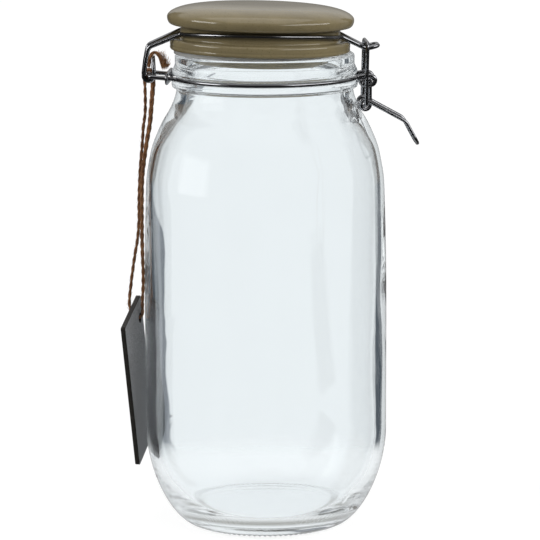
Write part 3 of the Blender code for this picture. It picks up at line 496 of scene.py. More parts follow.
# Route of the twine's loose end, which arches out of the wrap and curls up again
TWINE_END_ROUTE = (
    (-0.0590, 0.0000, 0.23655), (-0.0589, 0.0000, 0.2385), (-0.0585, -0.0002, 0.2410),
    (-0.0574, -0.0004, 0.2434), (-0.0557, -0.0005, 0.2442), (-0.0541, -0.0006, 0.2430),
    (-0.0531, -0.0005, 0.2408), (-0.0524, -0.0003, 0.2386),
)


class JarSettings(bpy.types.PropertyGroup):
    """Sizes and colours of the glass."""
    wall: FloatProperty(
        name="Wall", description="Thickness of the glass wall", default=WALL, unit="LENGTH")
    ripple: FloatProperty(
        name="Ripple", description="Unevenness of the inside of the glass", default=0.00016,
        unit="LENGTH")
    tint: FloatVectorProperty(
        name="Tint", description="Colour of the clear glass", subtype="COLOR", size=3,
        min=0.0, max=1.0, default=(0.965, 0.98, 0.985))
    silicone: FloatVectorProperty(
        name="Silicone", description="Colour of the clear seal", subtype="COLOR", size=3,
        min=0.0, max=1.0, default=(0.86, 0.86, 0.84))


class LidSettings(bpy.types.PropertyGroup):
    """Sizes and colours of the glazed lid."""
    dome: FloatProperty(
        name="Dome", description="Height of the domed top", default=DOME_HEIGHT, unit="LENGTH")
    glaze: FloatVectorProperty(
        name="Glaze", description="Colour of the glaze", subtype="COLOR", size=3,
        min=0.0, max=1.0, default=(0.275, 0.225, 0.122))
    thin_glaze: FloatVectorProperty(
        name="Thin glaze", description="Colour where the glaze runs thin over an edge",
        subtype="COLOR", size=3, min=0.0, max=1.0, default=(0.185, 0.145, 0.072))


class WireSettings(bpy.types.PropertyGroup):
    """Thickness and colour of the steel wires."""
    neck: FloatProperty(
        name="Neck wire", description="Radius of the wire round the neck",
        default=NECK_WIRE_RADIUS, unit="LENGTH")
    lid: FloatProperty(
        name="Lid wire", description="Radius of the wire in the lid's groove",
        default=LID_WIRE_RADIUS, unit="LENGTH")
    lever: FloatProperty(
        name="Lever", description="Radius of the lever's wire", default=LEVER_WIRE_RADIUS,
        unit="LENGTH")
    link: FloatProperty(
        name="Link", description="Radius of the link's wire", default=LINK_WIRE_RADIUS,
        unit="LENGTH")
    ferrule: FloatProperty(
        name="Ferrule", description="Radius of the wire that ties the hinge strands",
        default=FERRULE_WIRE_RADIUS, unit="LENGTH")
    steel: FloatVectorProperty(
        name="Steel", description="Colour of the bright drawn wire", subtype="COLOR", size=3,
        min=0.0, max=1.0, default=(0.29, 0.292, 0.303))
    scale: FloatVectorProperty(
        name="Drawing marks", description="Colour in the marks of the drawing die",
        subtype="COLOR", size=3, min=0.0, max=1.0, default=(0.13, 0.13, 0.137))


class TwineSettings(bpy.types.PropertyGroup):
    """Make-up and colours of the twine."""
    radius: FloatProperty(
        name="Radius", description="Radius of the laid twine", default=TWINE_RADIUS,
        unit="LENGTH")
    lay: FloatProperty(
        name="Lay", description="Length of one full twist of the plies", default=0.0092,
        unit="LENGTH")
    hairs: IntProperty(
        name="Hairs", description="Loose fibres along the twine", default=320, min=0)
    light: FloatVectorProperty(
        name="Light fibre", description="Colour of the palest fibres", subtype="COLOR", size=3,
        min=0.0, max=1.0, default=(0.60, 0.265, 0.09))
    frayed: FloatVectorProperty(
        name="Frayed fibre", description="Colour of the fibres at the frayed end", subtype="COLOR",
        size=3, min=0.0, max=1.0, default=(1.0, 0.53, 0.24))
    dark: FloatVectorProperty(
        name="Dark fibre", description="Colour between the fibres", subtype="COLOR", size=3,
        min=0.0, max=1.0, default=(0.105, 0.040, 0.015))


class TagSettings(bpy.types.PropertyGroup):
    """Size and colours of the bare board."""
    thickness: FloatProperty(
        name="Thickness", description="Thickness of the board", default=TAG_THICKNESS,
        unit="LENGTH")
    face: FloatVectorProperty(
        name="Face", description="Colour of the chalky faces", subtype="COLOR", size=3,
        min=0.0, max=1.0, default=(0.44, 0.44, 0.46))
    edge: FloatVectorProperty(
        name="Edge", description="Colour of the sawn edges", subtype="COLOR", size=3,
        min=0.0, max=1.0, default=(0.014, 0.010, 0.007))


class StageSettings(bpy.types.PropertyGroup):
    """Floor and light."""
    floor: FloatProperty(
        name="Floor", description="Radius of the pale floor", default=0.42, unit="LENGTH")
    floor_colour: FloatVectorProperty(
        name="Floor colour", description="Colour of the floor", subtype="COLOR", size=3,
        min=0.0, max=1.0, default=(0.3, 0.3, 0.298))
    left_light: FloatProperty(
        name="Left light", description="Power of the soft light on the left", default=3.2,
        unit="POWER")
    left_glow: FloatProperty(
        name="Left glow", description="Power of the left light's glow in the glass", default=0.45,
        unit="POWER")
    right_light: FloatProperty(
        name="Right light", description="Power of the soft light on the right", default=4.4,
        unit="POWER")
    top_light: FloatProperty(
        name="Top light", description="Power of the soft light overhead", default=2.2,
        unit="POWER")


# Shapes


def arc_points(centre, right, up, radius, start, end, step):
    """Points on an arc in the plane of two directions, both ends included."""
    count = max(1, math.ceil(abs(end - start) / step))
    points = []
    for index in range(count + 1):
        angle = start + (end - start) * index / count
        across = right * (radius * math.cos(angle))
        points.append(centre + across + up * (radius * math.sin(angle)))
    return points


def bent_path(corners):
    """Turns (point, bend radius) pairs into straight runs joined by round bends."""
    points = []
    last = len(corners) - 1
    for index, (place, radius) in enumerate(corners):
        if index in (0, last) or radius == 0.0:
            points.append(place)
            continue
        back = corners[index - 1][0] - place
        ahead = corners[index + 1][0] - place
        turn = math.pi - back.angle(ahead)
        reach = radius * math.tan(turn / 2)
        reach = min(reach, back.length * RUN_SHARE, ahead.length * RUN_SHARE)
        fitted = reach / math.tan(turn / 2)
        towards = (back.normalized() + ahead.normalized()).normalized()
        centre = place + towards * math.hypot(fitted, reach)
        start = place + back.normalized() * reach - centre
        side = back.normalized() * -1.0
        points += arc_points(
            centre, start.normalized(), side, fitted, 0.0, turn, BEND_STEP)
    return points


def mirrored(points):
    """The same points on the other side of the XZ plane, in reverse order."""
    return [Vector((p.x, -p.y, p.z)) for p in reversed(points)]


def smooth_line(route, steps):
    """Points of a smooth curve that runs through every point of a route."""
    knots = [Vector(place) for place in route]
    knots = [knots[0] * 2 - knots[1]] + knots + [knots[-1] * 2 - knots[-2]]
    points = []
    for before, start, end, after in zip(knots, knots[1:], knots[2:], knots[3:]):
        for index in range(steps):
            t = index / steps
            point = start * 2 + (end - before) * t
            point += (before * 2 - start * 5 + end * 4 - after) * t ** 2
            point += (start * 3 - before - end * 3 + after) * t ** 3
            points.append(point / 2)
    points.append(knots[-2])
    return points


def even_line(points, spacing):
    """Reads points at an even spacing along a line."""
    lengths = [0.0]
    for start, end in zip(points, points[1:]):
        lengths.append(lengths[-1] + (end - start).length)
    count = max(2, round(lengths[-1] / spacing))
    even = []
    place = 0
    for index in range(count + 1):
        wanted = lengths[-1] * index / count
        while place < len(points) - 2 and lengths[place + 1] < wanted:
            place += 1
        run = lengths[place + 1] - lengths[place]
        even.append(points[place].lerp(points[place + 1], (wanted - lengths[place]) / run))
    return even


def line_frames(points, closed=False):
    """A side and an up direction at each point, turned as little as possible on the way."""
    count = len(points)
    frames = []
    side = None
    for index, point in enumerate(points):
        before = points[index - 1] if index or closed else point
        after = points[(index + 1) % count] if index < count - 1 or closed else point
        along = (after - before).normalized()
        if side is None:
            side = along.cross(UP if abs(along.z) < STEEP else RIGHT)
        side = (side - along * side.dot(along)).normalized()
        frames.append((side, along.cross(side)))
    return frames


def add_piece(name, mesh, material, body, slot, *nodes):
    """Puts a finished mesh in the scene, on its body and in place of its frame nodes."""
    mesh.materials.append(material)
    piece = bpy.data.objects.new(name, mesh)
    bpy.context.scene.collection.objects.link(piece)
    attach(piece, body)
    if nodes:
        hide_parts(*nodes)
    return piece


def new_mesh(name, points, faces, coordinates=None):
    """Makes a smooth mesh, with UVs from one (u, v) pair for each corner of each face."""
    mesh = bpy.data.meshes.new(name)
    mesh.from_pydata(points, [], faces)
    if coordinates:
        layer = mesh.uv_layers.new(name="UVMap")
        layer.data.foreach_set("uv", [number for pair in coordinates for number in pair])
    mesh.shade_smooth()
    mesh.validate()
    return mesh


def tube_parts(points, radius, sides, closed=False, shape=None, start_index=0):
    """Points, faces and UVs of a round tube along a line; shape varies its radius."""
    frames = line_frames(points, closed)
    lengths = [0.0]
    for start, end in zip(points, points[1:]):
        lengths.append(lengths[-1] + (end - start).length)
    rings = [(place, turned, radius, run) for place, turned, run in zip(points, frames, lengths)]
    if not closed:
        inset = radius * END_INSET_SHARE
        first, last = points[0], points[-1]
        into = (points[1] - first).normalized()
        back = (points[-2] - last).normalized()
        rings[0] = (first + into * inset, frames[0], radius, inset)
        rings[-1] = (last + back * inset, frames[-1], radius, lengths[-1] - inset)
        rings.insert(0, (first, frames[0], radius * END_RADIUS_SHARE, 0.0))
        rings.append((last, frames[-1], radius * END_RADIUS_SHARE, lengths[-1]))
    vertices = []
    for place, (side, up), reach, run in rings:
        for corner in range(sides):
            angle = math.tau * corner / sides
            wide = reach * (shape(angle, run) if shape else 1.0)
            across = side * (wide * math.cos(angle))
            vertices.append(place + across + up * (wide * math.sin(angle)))
    faces = []
    coordinates = []
    count = len(rings)
    for ring in range(count if closed else count - 1):
        following = (ring + 1) % count
        here, there = start_index + ring * sides, start_index + following * sides
        low = rings[ring][3]
        high = rings[following][3] if following else low + (points[0] - points[-1]).length
        for corner in range(sides):
            beside = (corner + 1) % sides
            faces.append((here + corner, here + beside, there + beside, there + corner))
            left, right = corner / sides, (corner + 1) / sides
            coordinates += [(left, low), (right, low), (right, high), (left, high)]
    if not closed:
        last = start_index + (count - 1) * sides
        faces.append(tuple(start_index + corner for corner in reversed(range(sides))))
        faces.append(tuple(last + corner for corner in range(sides)))
        coordinates += [(0.0, 0.0)] * sides + [(0.0, lengths[-1])] * sides
    return vertices, faces, coordinates


def add_tube(parts, points, radius, sides, shape=None):
    """Adds a round tube to the points, faces and UVs of a mesh in the making."""
    more = tube_parts(points, radius, sides, shape=shape, start_index=len(parts[0]))
    for whole, part in zip(parts, more):
        whole.extend(part)


def wire_mesh(name, points, radius, closed=False):
    """A smooth round wire along a line."""
    clean = [points[0]]
    for point in points[1:]:
        if (point - clean[-1]).length > radius * CLOSE_SHARE:
            clean.append(point)
    return new_mesh(name, *tube_parts(clean, radius, WIRE_SIDES, closed))


def turned_mesh(name, outline, segments, push=None):
    """Turns an outline of (radius, height, ...) points about Z; push can move each point."""
    vertices = []
    rings = []
    for place in outline:
        radius, height = place[0], place[1]
        if radius < SMALL:
            rings.append([len(vertices)])
            vertices.append(Vector((0.0, 0.0, height)))
            continue
        rings.append(range(len(vertices), len(vertices) + segments))
        for index in range(segments):
            angle = math.tau * index / segments
            wide, high = push(place, angle) if push else (radius, height)
            vertices.append(Vector((wide * math.cos(angle), wide * math.sin(angle), high)))
    faces = []
    for low, high in zip(rings, rings[1:]):
        for index in range(segments):
            beside = (index + 1) % segments
            corners = [low[index % len(low)], low[beside % len(low)]]
            corners += [high[beside % len(high)], high[index % len(high)]]
            faces.append(tuple(dict.fromkeys(corners)))
    if outline[0][0] > SMALL:
        low, high = rings[-1], rings[0]
        for index in range(segments):
            beside = (index + 1) % segments
            faces.append((low[index], low[beside], high[beside], high[index]))
    return new_mesh(name, vertices, faces)


# Glass


def rounded(corners):
    """A rounded outline through (radius, height, rounding) corners."""
    path = bent_path([(Vector((wide, 0.0, high)), bend) for wide, high, bend in corners])
    return [(point.x, point.z) for point in path]


def smoothed(points, steps):
    """A smooth outline through (radius, height) points."""
    curve = smooth_line([(wide, 0.0, high) for wide, high in points], steps)
    return [(point.x, point.z) for point in curve]


def eased(value, start, end):
    """Rises smoothly from zero to one between two values."""
    share = min(1.0, max(0.0, (value - start) / (end - start)))
    return share * share * (3.0 - 2.0 * share)


def foot_curve(share):
    """How far the wall has come out, as a share, at a share of the foot's height."""
    across_power, rise_power = FOOT_POWERS
    return (1.0 - (1.0 - share) ** rise_power) ** (1.0 / across_power)


def foot_outline(start, width, rise, steps):
    """The curve from a flat foot up to the wall, with closer points where it bends most."""
    points = []
    for index in range(1, steps + 1):
        share = (index / steps) ** FOOT_STEP_POWER
        points.append((start[0] + width * foot_curve(share), start[1] + rise * share))
    return points


def bead_corners(low, proud, height, shares, bends):
    """The corners of a bead that stands out of the neck."""
    return [
        (NECK_RADIUS + proud * out, low + height * up, bend)
        for (out, up), bend in zip(shares, bends)
    ]


def jar_outside():
    """The jar's outside from the middle of its hollowed base up to the rim's top."""
    outline = []
    for index in range(BASE_STEPS):
        radius = BEARING_INSIDE * index / BASE_STEPS
        outline.append((radius, BASE_RECESS * eased(radius, BEARING_INSIDE, RECESS_START)))
    corners = [(radius, 0.0, 0.0) for radius in (BEARING_INSIDE, *BEARING_RADII)]
    corners.append((FOOT_RADIUS, 0.0, FOOT_CORNER))
    corners.append((FOOT_RADIUS + FOOT_EDGE[0], FOOT_EDGE[1], 0.0))
    outline += rounded(corners)[:-1]
    outline += foot_outline(
        (FOOT_RADIUS, 0.0), BODY_RADIUS - FOOT_RADIUS, FOOT_RISE, FOOT_STEPS)[2:]
    straight_top = (FOOT_RISE + SHOULDER_FOOT) / 2
    outline.append((BODY_RADIUS, (FOOT_RISE + straight_top) / 2))
    outline.append((BODY_RADIUS, straight_top))
    for index in range(1, BODY_STEPS + 1):
        share = index / BODY_STEPS
        height = straight_top + (SHOULDER_FOOT - straight_top) * share
        outline.append((BODY_RADIUS - BODY_DRAW_IN * share ** 2, height))
    shoulder = [outline[-2], outline[-1]]
    for up, inwards in SHOULDER_SHARES:
        radius = SHOULDER_RADIUS - (SHOULDER_RADIUS - NECK_RADIUS) * inwards
        shoulder.append((radius, SHOULDER_FOOT + SHOULDER_RISE * up))
    shoulder += [(NECK_RADIUS + NECK_FLARE, NECK_FOOT), (NECK_RADIUS, NECK_FOOT + NECK_RUN)]
    outline += smoothed(shoulder, SHOULDER_STEPS)[SHOULDER_STEPS + 1:]

    low = GROOVE_HEIGHT - GROOVE_HALF - LOWER_BEAD_HEIGHT
    undercut = low - UNDERCUT_HEIGHT * UNDERCUT_SHARE
    corners = [(*outline[-1], 0.0), (NECK_RADIUS, undercut, UNDERCUT_BEND)]
    corners += bead_corners(
        low, LOWER_BEAD_PROUD, LOWER_BEAD_HEIGHT, LOWER_BEAD_SHARES, LOWER_BEAD_BENDS)
    for side in (-1, 1):
        height = GROOVE_HEIGHT + side * GROOVE_HALF * GROOVE_FLAT_SHARE
        corners.append((NECK_RADIUS, height, GROOVE_BEND))
    low = GROOVE_HEIGHT + GROOVE_HALF
    corners += bead_corners(
        low, UPPER_BEAD_PROUD, UPPER_BEAD_HEIGHT, UPPER_BEAD_SHARES, UPPER_BEAD_BENDS)
    corners.append((RIM_RADIUS, low + UPPER_BEAD_HEIGHT + COLLAR_HEIGHT, COLLAR_BEND))
    corners.append((RIM_RADIUS, JAR_HEIGHT, RIM_ROUNDING))
    corners.append((MOUTH_RADIUS + RIM_ROUNDING, JAR_HEIGHT, 0.0))
    return outline[:-1] + rounded(corners)


def jar_inside(wall):
    """The jar's inside from the rim's top down to the middle of the floor."""
    inner_radius = SHOULDER_RADIUS - wall
    neck = (MOUTH_RADIUS, NECK_FOOT + NECK_INSIDE_RUN)
    shoulder = [neck, (MOUTH_RADIUS, NECK_FOOT)]
    for up, inwards in reversed(SHOULDER_SHARES):
        radius = inner_radius - (inner_radius - MOUTH_RADIUS) * inwards
        shoulder.append((radius, SHOULDER_FOOT + SHOULDER_RISE * up - wall * inwards))
    shoulder.append((inner_radius, SHOULDER_FOOT))
    shoulder.append((inner_radius + INSIDE_EASE, SHOULDER_FOOT - INSIDE_RUN))
    outline = rounded([
        (MOUTH_RADIUS + RIM_ROUNDING, JAR_HEIGHT, 0.0), (MOUTH_RADIUS, JAR_HEIGHT, RIM_ROUNDING),
        (*neck, 0.0),
    ])[1:-1]
    outline += smoothed(shoulder, SHOULDER_STEPS)
    top = outline[-1]
    for index in range(1, WALL_STEPS):
        share = index / WALL_STEPS
        wide = top[0] + (BODY_RADIUS - wall - top[0]) * min(1.0, share * 2)
        outline.append((wide, top[1] + (FOOT_RISE - top[1]) * share))
    foot = foot_outline(
        (FLOOR_RADIUS, FLOOR_THICKNESS), BODY_RADIUS - wall - FLOOR_RADIUS,
        FOOT_RISE - FLOOR_THICKNESS, FOOT_INSIDE_STEPS)
    outline += list(reversed(foot))
    outline += [(FLOOR_RADIUS * share, FLOOR_THICKNESS) for share in FLOOR_SHARES]
    return outline


def add_glass(settings, material):
    """The glass body: foot with its knurled ring, wall, shoulder, beaded neck, rim and hollow."""
    outside = [(wide, high, True) for wide, high in jar_outside()]
    inside = [(wide, high, False) for wide, high in jar_inside(settings.wall)]

    def push(place, angle):
        wide, high, is_outside = place
        if is_outside:
            near_ring = 1.0 - min(1.0, abs(wide - KNURL_RADIUS) / KNURL_WIDTH)
            if high < KNURL_HEIGHT and near_ring > 0.0:
                wave = 0.5 - 0.5 * math.cos(KNURL_COUNT * angle)
                high += KNURL_DEPTH * wave * min(1.0, near_ring * 2.0)
            across = (angle - math.tau - MARK_ANGLE) * wide / MARK_SIZE[0]
            along = (high - MARK_HEIGHT) / MARK_SIZE[1]
            wide += MARK_PROUD * math.exp(-across * across - along * along)
            return wide, high
        around = (wide * math.cos(angle), wide * math.sin(angle), high)
        thick = eased(high, FLOOR_THICKNESS, FOOT_RISE)
        swell_top = SHOULDER_FOOT + SWELL_TOP
        thick *= eased(high, swell_top, swell_top - SWELL_FADE)
        wide -= thick * WALL_SWELL
        if high < NECK_FOOT and wide > FLOOR_RADIUS / 2:
            stretched = Vector([length * scale for length, scale in zip(around, RIPPLE_SCALES)])
            wide += settings.ripple * noise.noise(stretched)
            wide += settings.ripple / 2 * noise.noise(stretched * RIPPLE_FINER)
        return wide, high

    mesh = turned_mesh("jar_glass", outside + inside, JAR_SEGMENTS, push)
    add_piece("jar_glass", mesh, material, "root", "clear_glass", "jar")


# Lid


def lid_matrix():
    """The lid's frame: on the rim, moved towards the hinge and leaning to the clasp."""
    place = Matrix.Translation((-LID_SHIFT, 0.0, JAR_HEIGHT))
    return place @ Matrix.Rotation(LID_LEAN, 4, "Y")


def lid_place(radius, angle, rise):
    """A point given in the lid's own frame, in the jar's frame."""
    return lid_matrix() @ Vector((radius * math.cos(angle), radius * math.sin(angle), rise))


def quarter_turn(centre, reach, start, turn, steps):
    """A quarter of an oval as (radius, height) points; reach is its half width and half height."""
    points = []
    for index in range(steps + 1):
        angle = start + turn * index / steps
        wide = centre[0] + reach[0] * math.cos(angle)
        points.append((wide, centre[1] + reach[1] * math.sin(angle)))
    return points


def lid_outline(dome):
    """The lid from the top of its dome, round its edge and flange, to the plug's recess."""
    across_power, rise_power = DOME_POWERS
    outline = []
    for index in range(DOME_STEPS):
        angle = math.pi / 2 * index / DOME_STEPS
        wide = DISC_RADIUS * math.sin(angle) ** across_power
        outline.append((wide, DISC_EDGE_RISE + dome * math.cos(angle) ** rise_power))
    outline += quarter_turn(
        (DISC_RADIUS - DISC_EDGE_WIDTH, DISC_EDGE_RISE), (DISC_EDGE_WIDTH, DISC_EDGE_HEIGHT),
        0.0, -math.pi / 2, EDGE_STEPS)
    out, up = HEEL_SHARES
    heel = (CORE_RADIUS + WIRE_GROOVE_DEPTH * out, FLANGE_RISE + WIRE_GROOVE_HEIGHT * up)
    out, up = HEEL_ROUNDING_SHARES
    reach = (WIRE_GROOVE_DEPTH * out, WIRE_GROOVE_HEIGHT * up)
    outline += quarter_turn(heel, reach, math.pi / 2, math.pi / 2, HEEL_STEPS)

    corners = [
        (CORE_RADIUS, FLANGE_RISE + WIRE_GROOVE_HEIGHT * GROOVE_FOOT_SHARE, 0.0),
        (CORE_RADIUS, FLANGE_RISE, FLANGE_FILLET),
        (LIP_RADIUS, FLANGE_RISE, FLANGE_ROUNDING),
    ]
    for inwards, up in NOTCH_SHARES:
        wide = LIP_RADIUS - NOTCH_DEPTH * inwards
        corners.append((wide, SEAT_RISE + NOTCH_HEIGHT * up, NOTCH_BEND))
    corners.append((LIP_RADIUS, (SEAT_RISE + LIP_FOOT) / 2, LIP_BEND))
    for inwards in LIP_FOOT_SHARES:
        corners.append((LIP_RADIUS - LIP_WIDTH * inwards, LIP_FOOT, SEAT_BEND))
    corners.append((LIP_RADIUS - LIP_WIDTH, SEAT_RISE, SEAT_BEND))
    corners.append((PLUG_RADIUS, SEAT_RISE, SEAT_BEND))
    for inwards, down in PLUG_END_SHARES:
        corners.append((PLUG_RADIUS - PLUG_TAPER * inwards, -PLUG_DEPTH * down, PLUG_BEND))
    recess = PLUG_RADIUS * RECESS_SHARE
    corners += [
        (recess, -PLUG_DEPTH, RECESS_BEND),
        (recess - RECESS_DEPTH, RECESS_DEPTH - PLUG_DEPTH, RECESS_BEND),
        (0.0, RECESS_DEPTH - PLUG_DEPTH, 0.0),
    ]
    return outline + rounded(corners)


def add_lid(settings, material):
    """The glazed lid: domed disc, groove for the wire, flange, lip and plug."""
    mesh = turned_mesh("lid_glazed", lid_outline(settings.dome), LID_SEGMENTS)
    mesh.transform(lid_matrix())
    mesh.flip_normals()
    add_piece("lid_glazed", mesh, material, "lid_body", "glazed_ceramic", "lid")


def add_seal(material):
    """The clear soft ring between lid and rim: its top leans with the lid, its foot is level."""
    inner = PLUG_RADIUS + SEAT_GAP
    outer = LIP_RADIUS - LIP_WIDTH - SEAT_GAP
    top = SEAT_RISE - SEAT_GAP
    middle = top / 2
    outline = rounded([
        (inner, middle, 0.0), (inner, 0.0, SEAL_BEND), (outer, 0.0, SEAL_BEND),
        (outer, top, SEAL_BEND), (inner, top, SEAL_BEND), (inner, middle + SMALL, 0.0),
    ])
    mesh = turned_mesh("seal_ring", outline, LID_SEGMENTS)
    matrix = lid_matrix()
    for vertex in mesh.vertices:
        lifted = matrix @ vertex.co
        level = Vector((lifted.x, lifted.y, JAR_HEIGHT + SEAT_GAP + vertex.co.z))
        vertex.co = level.lerp(lifted, min(1.0, vertex.co.z / top))
    add_piece("seal_ring", mesh, material, "lid_body", "silicone", "lid_seal")


# Wires


def ring_exit(radius, offset, side):
    """Where a strand leaves a ring: the angle on the ring and the corner after it."""
    angle = math.asin(offset / radius) + RING_EXIT_TURN
    run = (radius * math.sin(angle) - offset) / math.cos(angle)
    corner = radius * math.cos(angle) + run * math.sin(angle)
    return angle, side * corner


def neck_wire_front():
    """The front half of the neck wire, from its curled eye to the middle of the hinge bar."""
    eye = Vector((EYE_BACK, -EYE_OFFSET, PIVOT.z))
    pivot = Vector((PIVOT.x, -EYE_OFFSET, PIVOT.z))
    points = [eye - RIGHT * EYE_RADIUS + UP * CURL_RISE]
    points += arc_points(eye, RIGHT, UP, EYE_RADIUS, math.pi, math.pi * 1.5, BEND_STEP)
    points += arc_points(pivot, RIGHT, UP, EYE_RADIUS, -math.pi / 2, math.pi / 2, BEND_STEP)
    right_angle, right_corner = ring_exit(RING_RADIUS, EYE_OFFSET, 1)
    left_angle, left_corner = ring_exit(RING_RADIUS, HINGE_STRAND_OFFSET, -1)
    centre = Vector((0.0, 0.0, GROOVE_HEIGHT))
    ring = arc_points(
        centre, RIGHT, Vector((0.0, -1.0, 0.0)), RING_RADIUS, right_angle, math.pi - left_angle,
        RING_STEP)
    corners = [(points.pop(), 0.0)]
    corners.append((eye + UP * EYE_RADIUS, RING_EXIT_BEND))
    corners.append((Vector((right_corner, -EYE_OFFSET, GROOVE_HEIGHT)), RING_EXIT_BEND))
    corners += [(place, 0.0) for place in ring]
    corners.append((Vector((left_corner, -HINGE_STRAND_OFFSET, GROOVE_HEIGHT)), RING_EXIT_BEND))
    corners.append((Vector((HINGE.x, -HINGE_STRAND_OFFSET, HINGE.z)), HINGE_BEND))
    corners.append((HINGE.copy(), 0.0))
    return points + bent_path(corners)


def ferrule_line(radius):
    """The closed loop that ties both hinge strands together beside the neck."""
    x = -RING_RADIUS - FERRULE_REACH
    corner = ring_exit(RING_RADIUS, HINGE_STRAND_OFFSET, -1)[1]
    height = GROOVE_HEIGHT + HINGE_RISE * (x - corner) / (HINGE.x - corner)
    centre = Vector((x, 0.0, height))
    reach_out = NECK_WIRE_RADIUS + SIDE_GAP + radius
    across = Vector((math.sin(FERRULE_YAW), math.cos(FERRULE_YAW), 0.0))
    reach = HINGE_STRAND_OFFSET / math.cos(FERRULE_YAW)
    points = []
    for side in (1, -1):
        middle = centre + across * (side * reach)
        points += arc_points(
            middle, across * side, UP * side, reach_out, -math.pi / 2, math.pi / 2, BEND_STEP)
    return points


def lid_wire_front():
    """The front half of the lid wire, from its hook's end to the tip of the tongue."""
    bar = HINGE + Vector((0.0, -HOOK_OFFSET, 0.0))
    points = [bar + RIGHT * (HOOK_RADIUS - HOOK_RETURN_LEAN) + UP * HOOK_RETURN]
    points += arc_points(bar, RIGHT, UP, HOOK_RADIUS, 0.0, -math.pi, BEND_STEP)
    foot = points.pop()
    rise_share, lean_share = ARM_MID_SHARES
    middle = foot + UP * (ARM_RISE * rise_share) + RIGHT * (ARM_LEAN * lean_share)
    bend = foot + UP * ARM_RISE + RIGHT * ARM_LEAN
    angle, corner = ring_exit(LID_RING_RADIUS, LID_STRAND_OFFSET, 1)
    rise = LID_RING_RISE + LID_RING_ARCH * math.sin(angle)
    left_corner = lid_matrix() @ Vector((-corner, -LID_STRAND_OFFSET, rise))
    right_corner = lid_matrix() @ Vector((corner, -LID_STRAND_OFFSET, rise))
    count = math.ceil((math.pi - angle * 2) / RING_STEP)
    ring = []
    for index in range(count + 1):
        turn = math.pi + angle + (math.pi - angle * 2) * index / count
        arch = LID_RING_RISE + LID_RING_ARCH * abs(math.sin(turn))
        ring.append(lid_place(LID_RING_RADIUS, turn, arch))
    valley = TONGUE - Vector((0.0, TONGUE_OFFSET, 0.0))
    tip = TONGUE + Vector((TONGUE_LENGTH, -TONGUE_TIP_OFFSET, TONGUE_TIP_RISE))
    corners = [(foot, 0.0), (middle, ARM_RISE), (bend, ARM_BEND), (left_corner, RING_EXIT_BEND)]
    corners += [(place, 0.0) for place in ring]
    corners += [(right_corner, RING_EXIT_BEND), (valley, TONGUE_BEND), (tip, TONGUE_BEND)]
    corners.append((Vector((tip.x, 0.0, tip.z)), 0.0))
    return points + bent_path(corners)


def lever_front():
    """The front half of the lever, from its pivot end to the middle of the grip."""
    arm_top = Vector((PIVOT.x, -LEVER_ARM_OFFSET, PIVOT.z))
    arm_foot = Vector((COIL.x + COIL_RADIUS, -LEVER_ARM_OFFSET, COIL.z))
    start = Vector((PIVOT.x, -EYE_OUTSIDE, PIVOT.z))
    points = bent_path([(start, 0.0), (arm_top, LEVER_BEND), (arm_foot, 0.0)])
    sweep = COIL_TURN + TAIL_DROP
    count = math.ceil(sweep / BEND_STEP)
    for index in range(1, count + 1):
        angle = -sweep * index / count
        offset = LEVER_ARM_OFFSET + COIL_PITCH * index / count
        across = COIL_RADIUS * math.cos(angle)
        points.append(Vector((COIL.x + across, -offset, COIL.z + COIL_RADIUS * math.sin(angle))))
    leave = points.pop()
    tail = Vector((math.cos(TAIL_DROP), 0.0, -math.sin(TAIL_DROP)))
    grip = Vector((math.cos(GRIP_DROP), 0.0, -math.sin(GRIP_DROP)))
    knee = leave + tail * TAIL_LENGTH
    tip = knee + grip * GRIP_LENGTH
    corners = [(leave, 0.0), (knee, TAIL_BEND), (tip, GRIP_CORNER)]
    corners.append((Vector((tip.x, 0.0, tip.z)), 0.0))
    return points + bent_path(corners)


def link_front():
    """The front half of the link, from its foot inside the coil to the middle of its bar."""
    foot_end = LINK_OFFSET - (LINK_OFFSET - LEVER_ARM_OFFSET) * LINK_FOOT_SHARE
    return bent_path([
        (Vector((COIL.x, -foot_end, COIL.z)), 0.0),
        (Vector((COIL.x, -LINK_OFFSET, COIL.z)), LINK_FOOT_BEND),
        (Vector((LINK_TOP.x, -LINK_OFFSET, LINK_TOP.z)), LINK_TOP_BEND),
        (LINK_TOP.copy(), 0.0),
    ])


def both_halves(front):
    """A wire's whole line from its front half."""
    return front[:-1] + mirrored(front[:-1])


def add_wires(settings, material):
    """The neck wire, its ferrule, the lid wire and the clasp's lever and link."""
    wires = (
        ("neck_ring_wire", both_halves(neck_wire_front()), settings.neck, "root", "neck_wire"),
        ("hinge_ferrule", ferrule_line(settings.ferrule), settings.ferrule, "root",
         "neck_wire_ferrule"),
        ("lid_ring_wire", both_halves(lid_wire_front()), settings.lid, "lid_body", "lid_wire"),
        ("clasp_lever", both_halves(lever_front()), settings.lever, "lever_body", "latch_lever"),
        ("clasp_link", both_halves(link_front()), settings.link, "link_body", "latch_link"),
    )
    for name, line, radius, body, node in wires:
        mesh = wire_mesh(name, line, radius, closed=name == "hinge_ferrule")
        add_piece(name, mesh, material, body, "steel_wire", node)


# Twine


def ply_line(points, frames, radius, lay, phase):
    """The line of one ply, wound round the twine's own line."""
    reach = radius * (1.0 - PLY_SHARE)
    run = 0.0
    line = []
    for index, (point, (side, up)) in enumerate(zip(points, frames)):
        if index:
            run += (point - points[index - 1]).length
        angle = math.tau * run / lay + phase
        line.append(point + side * (reach * math.cos(angle)) + up * (reach * math.sin(angle)))
    return line


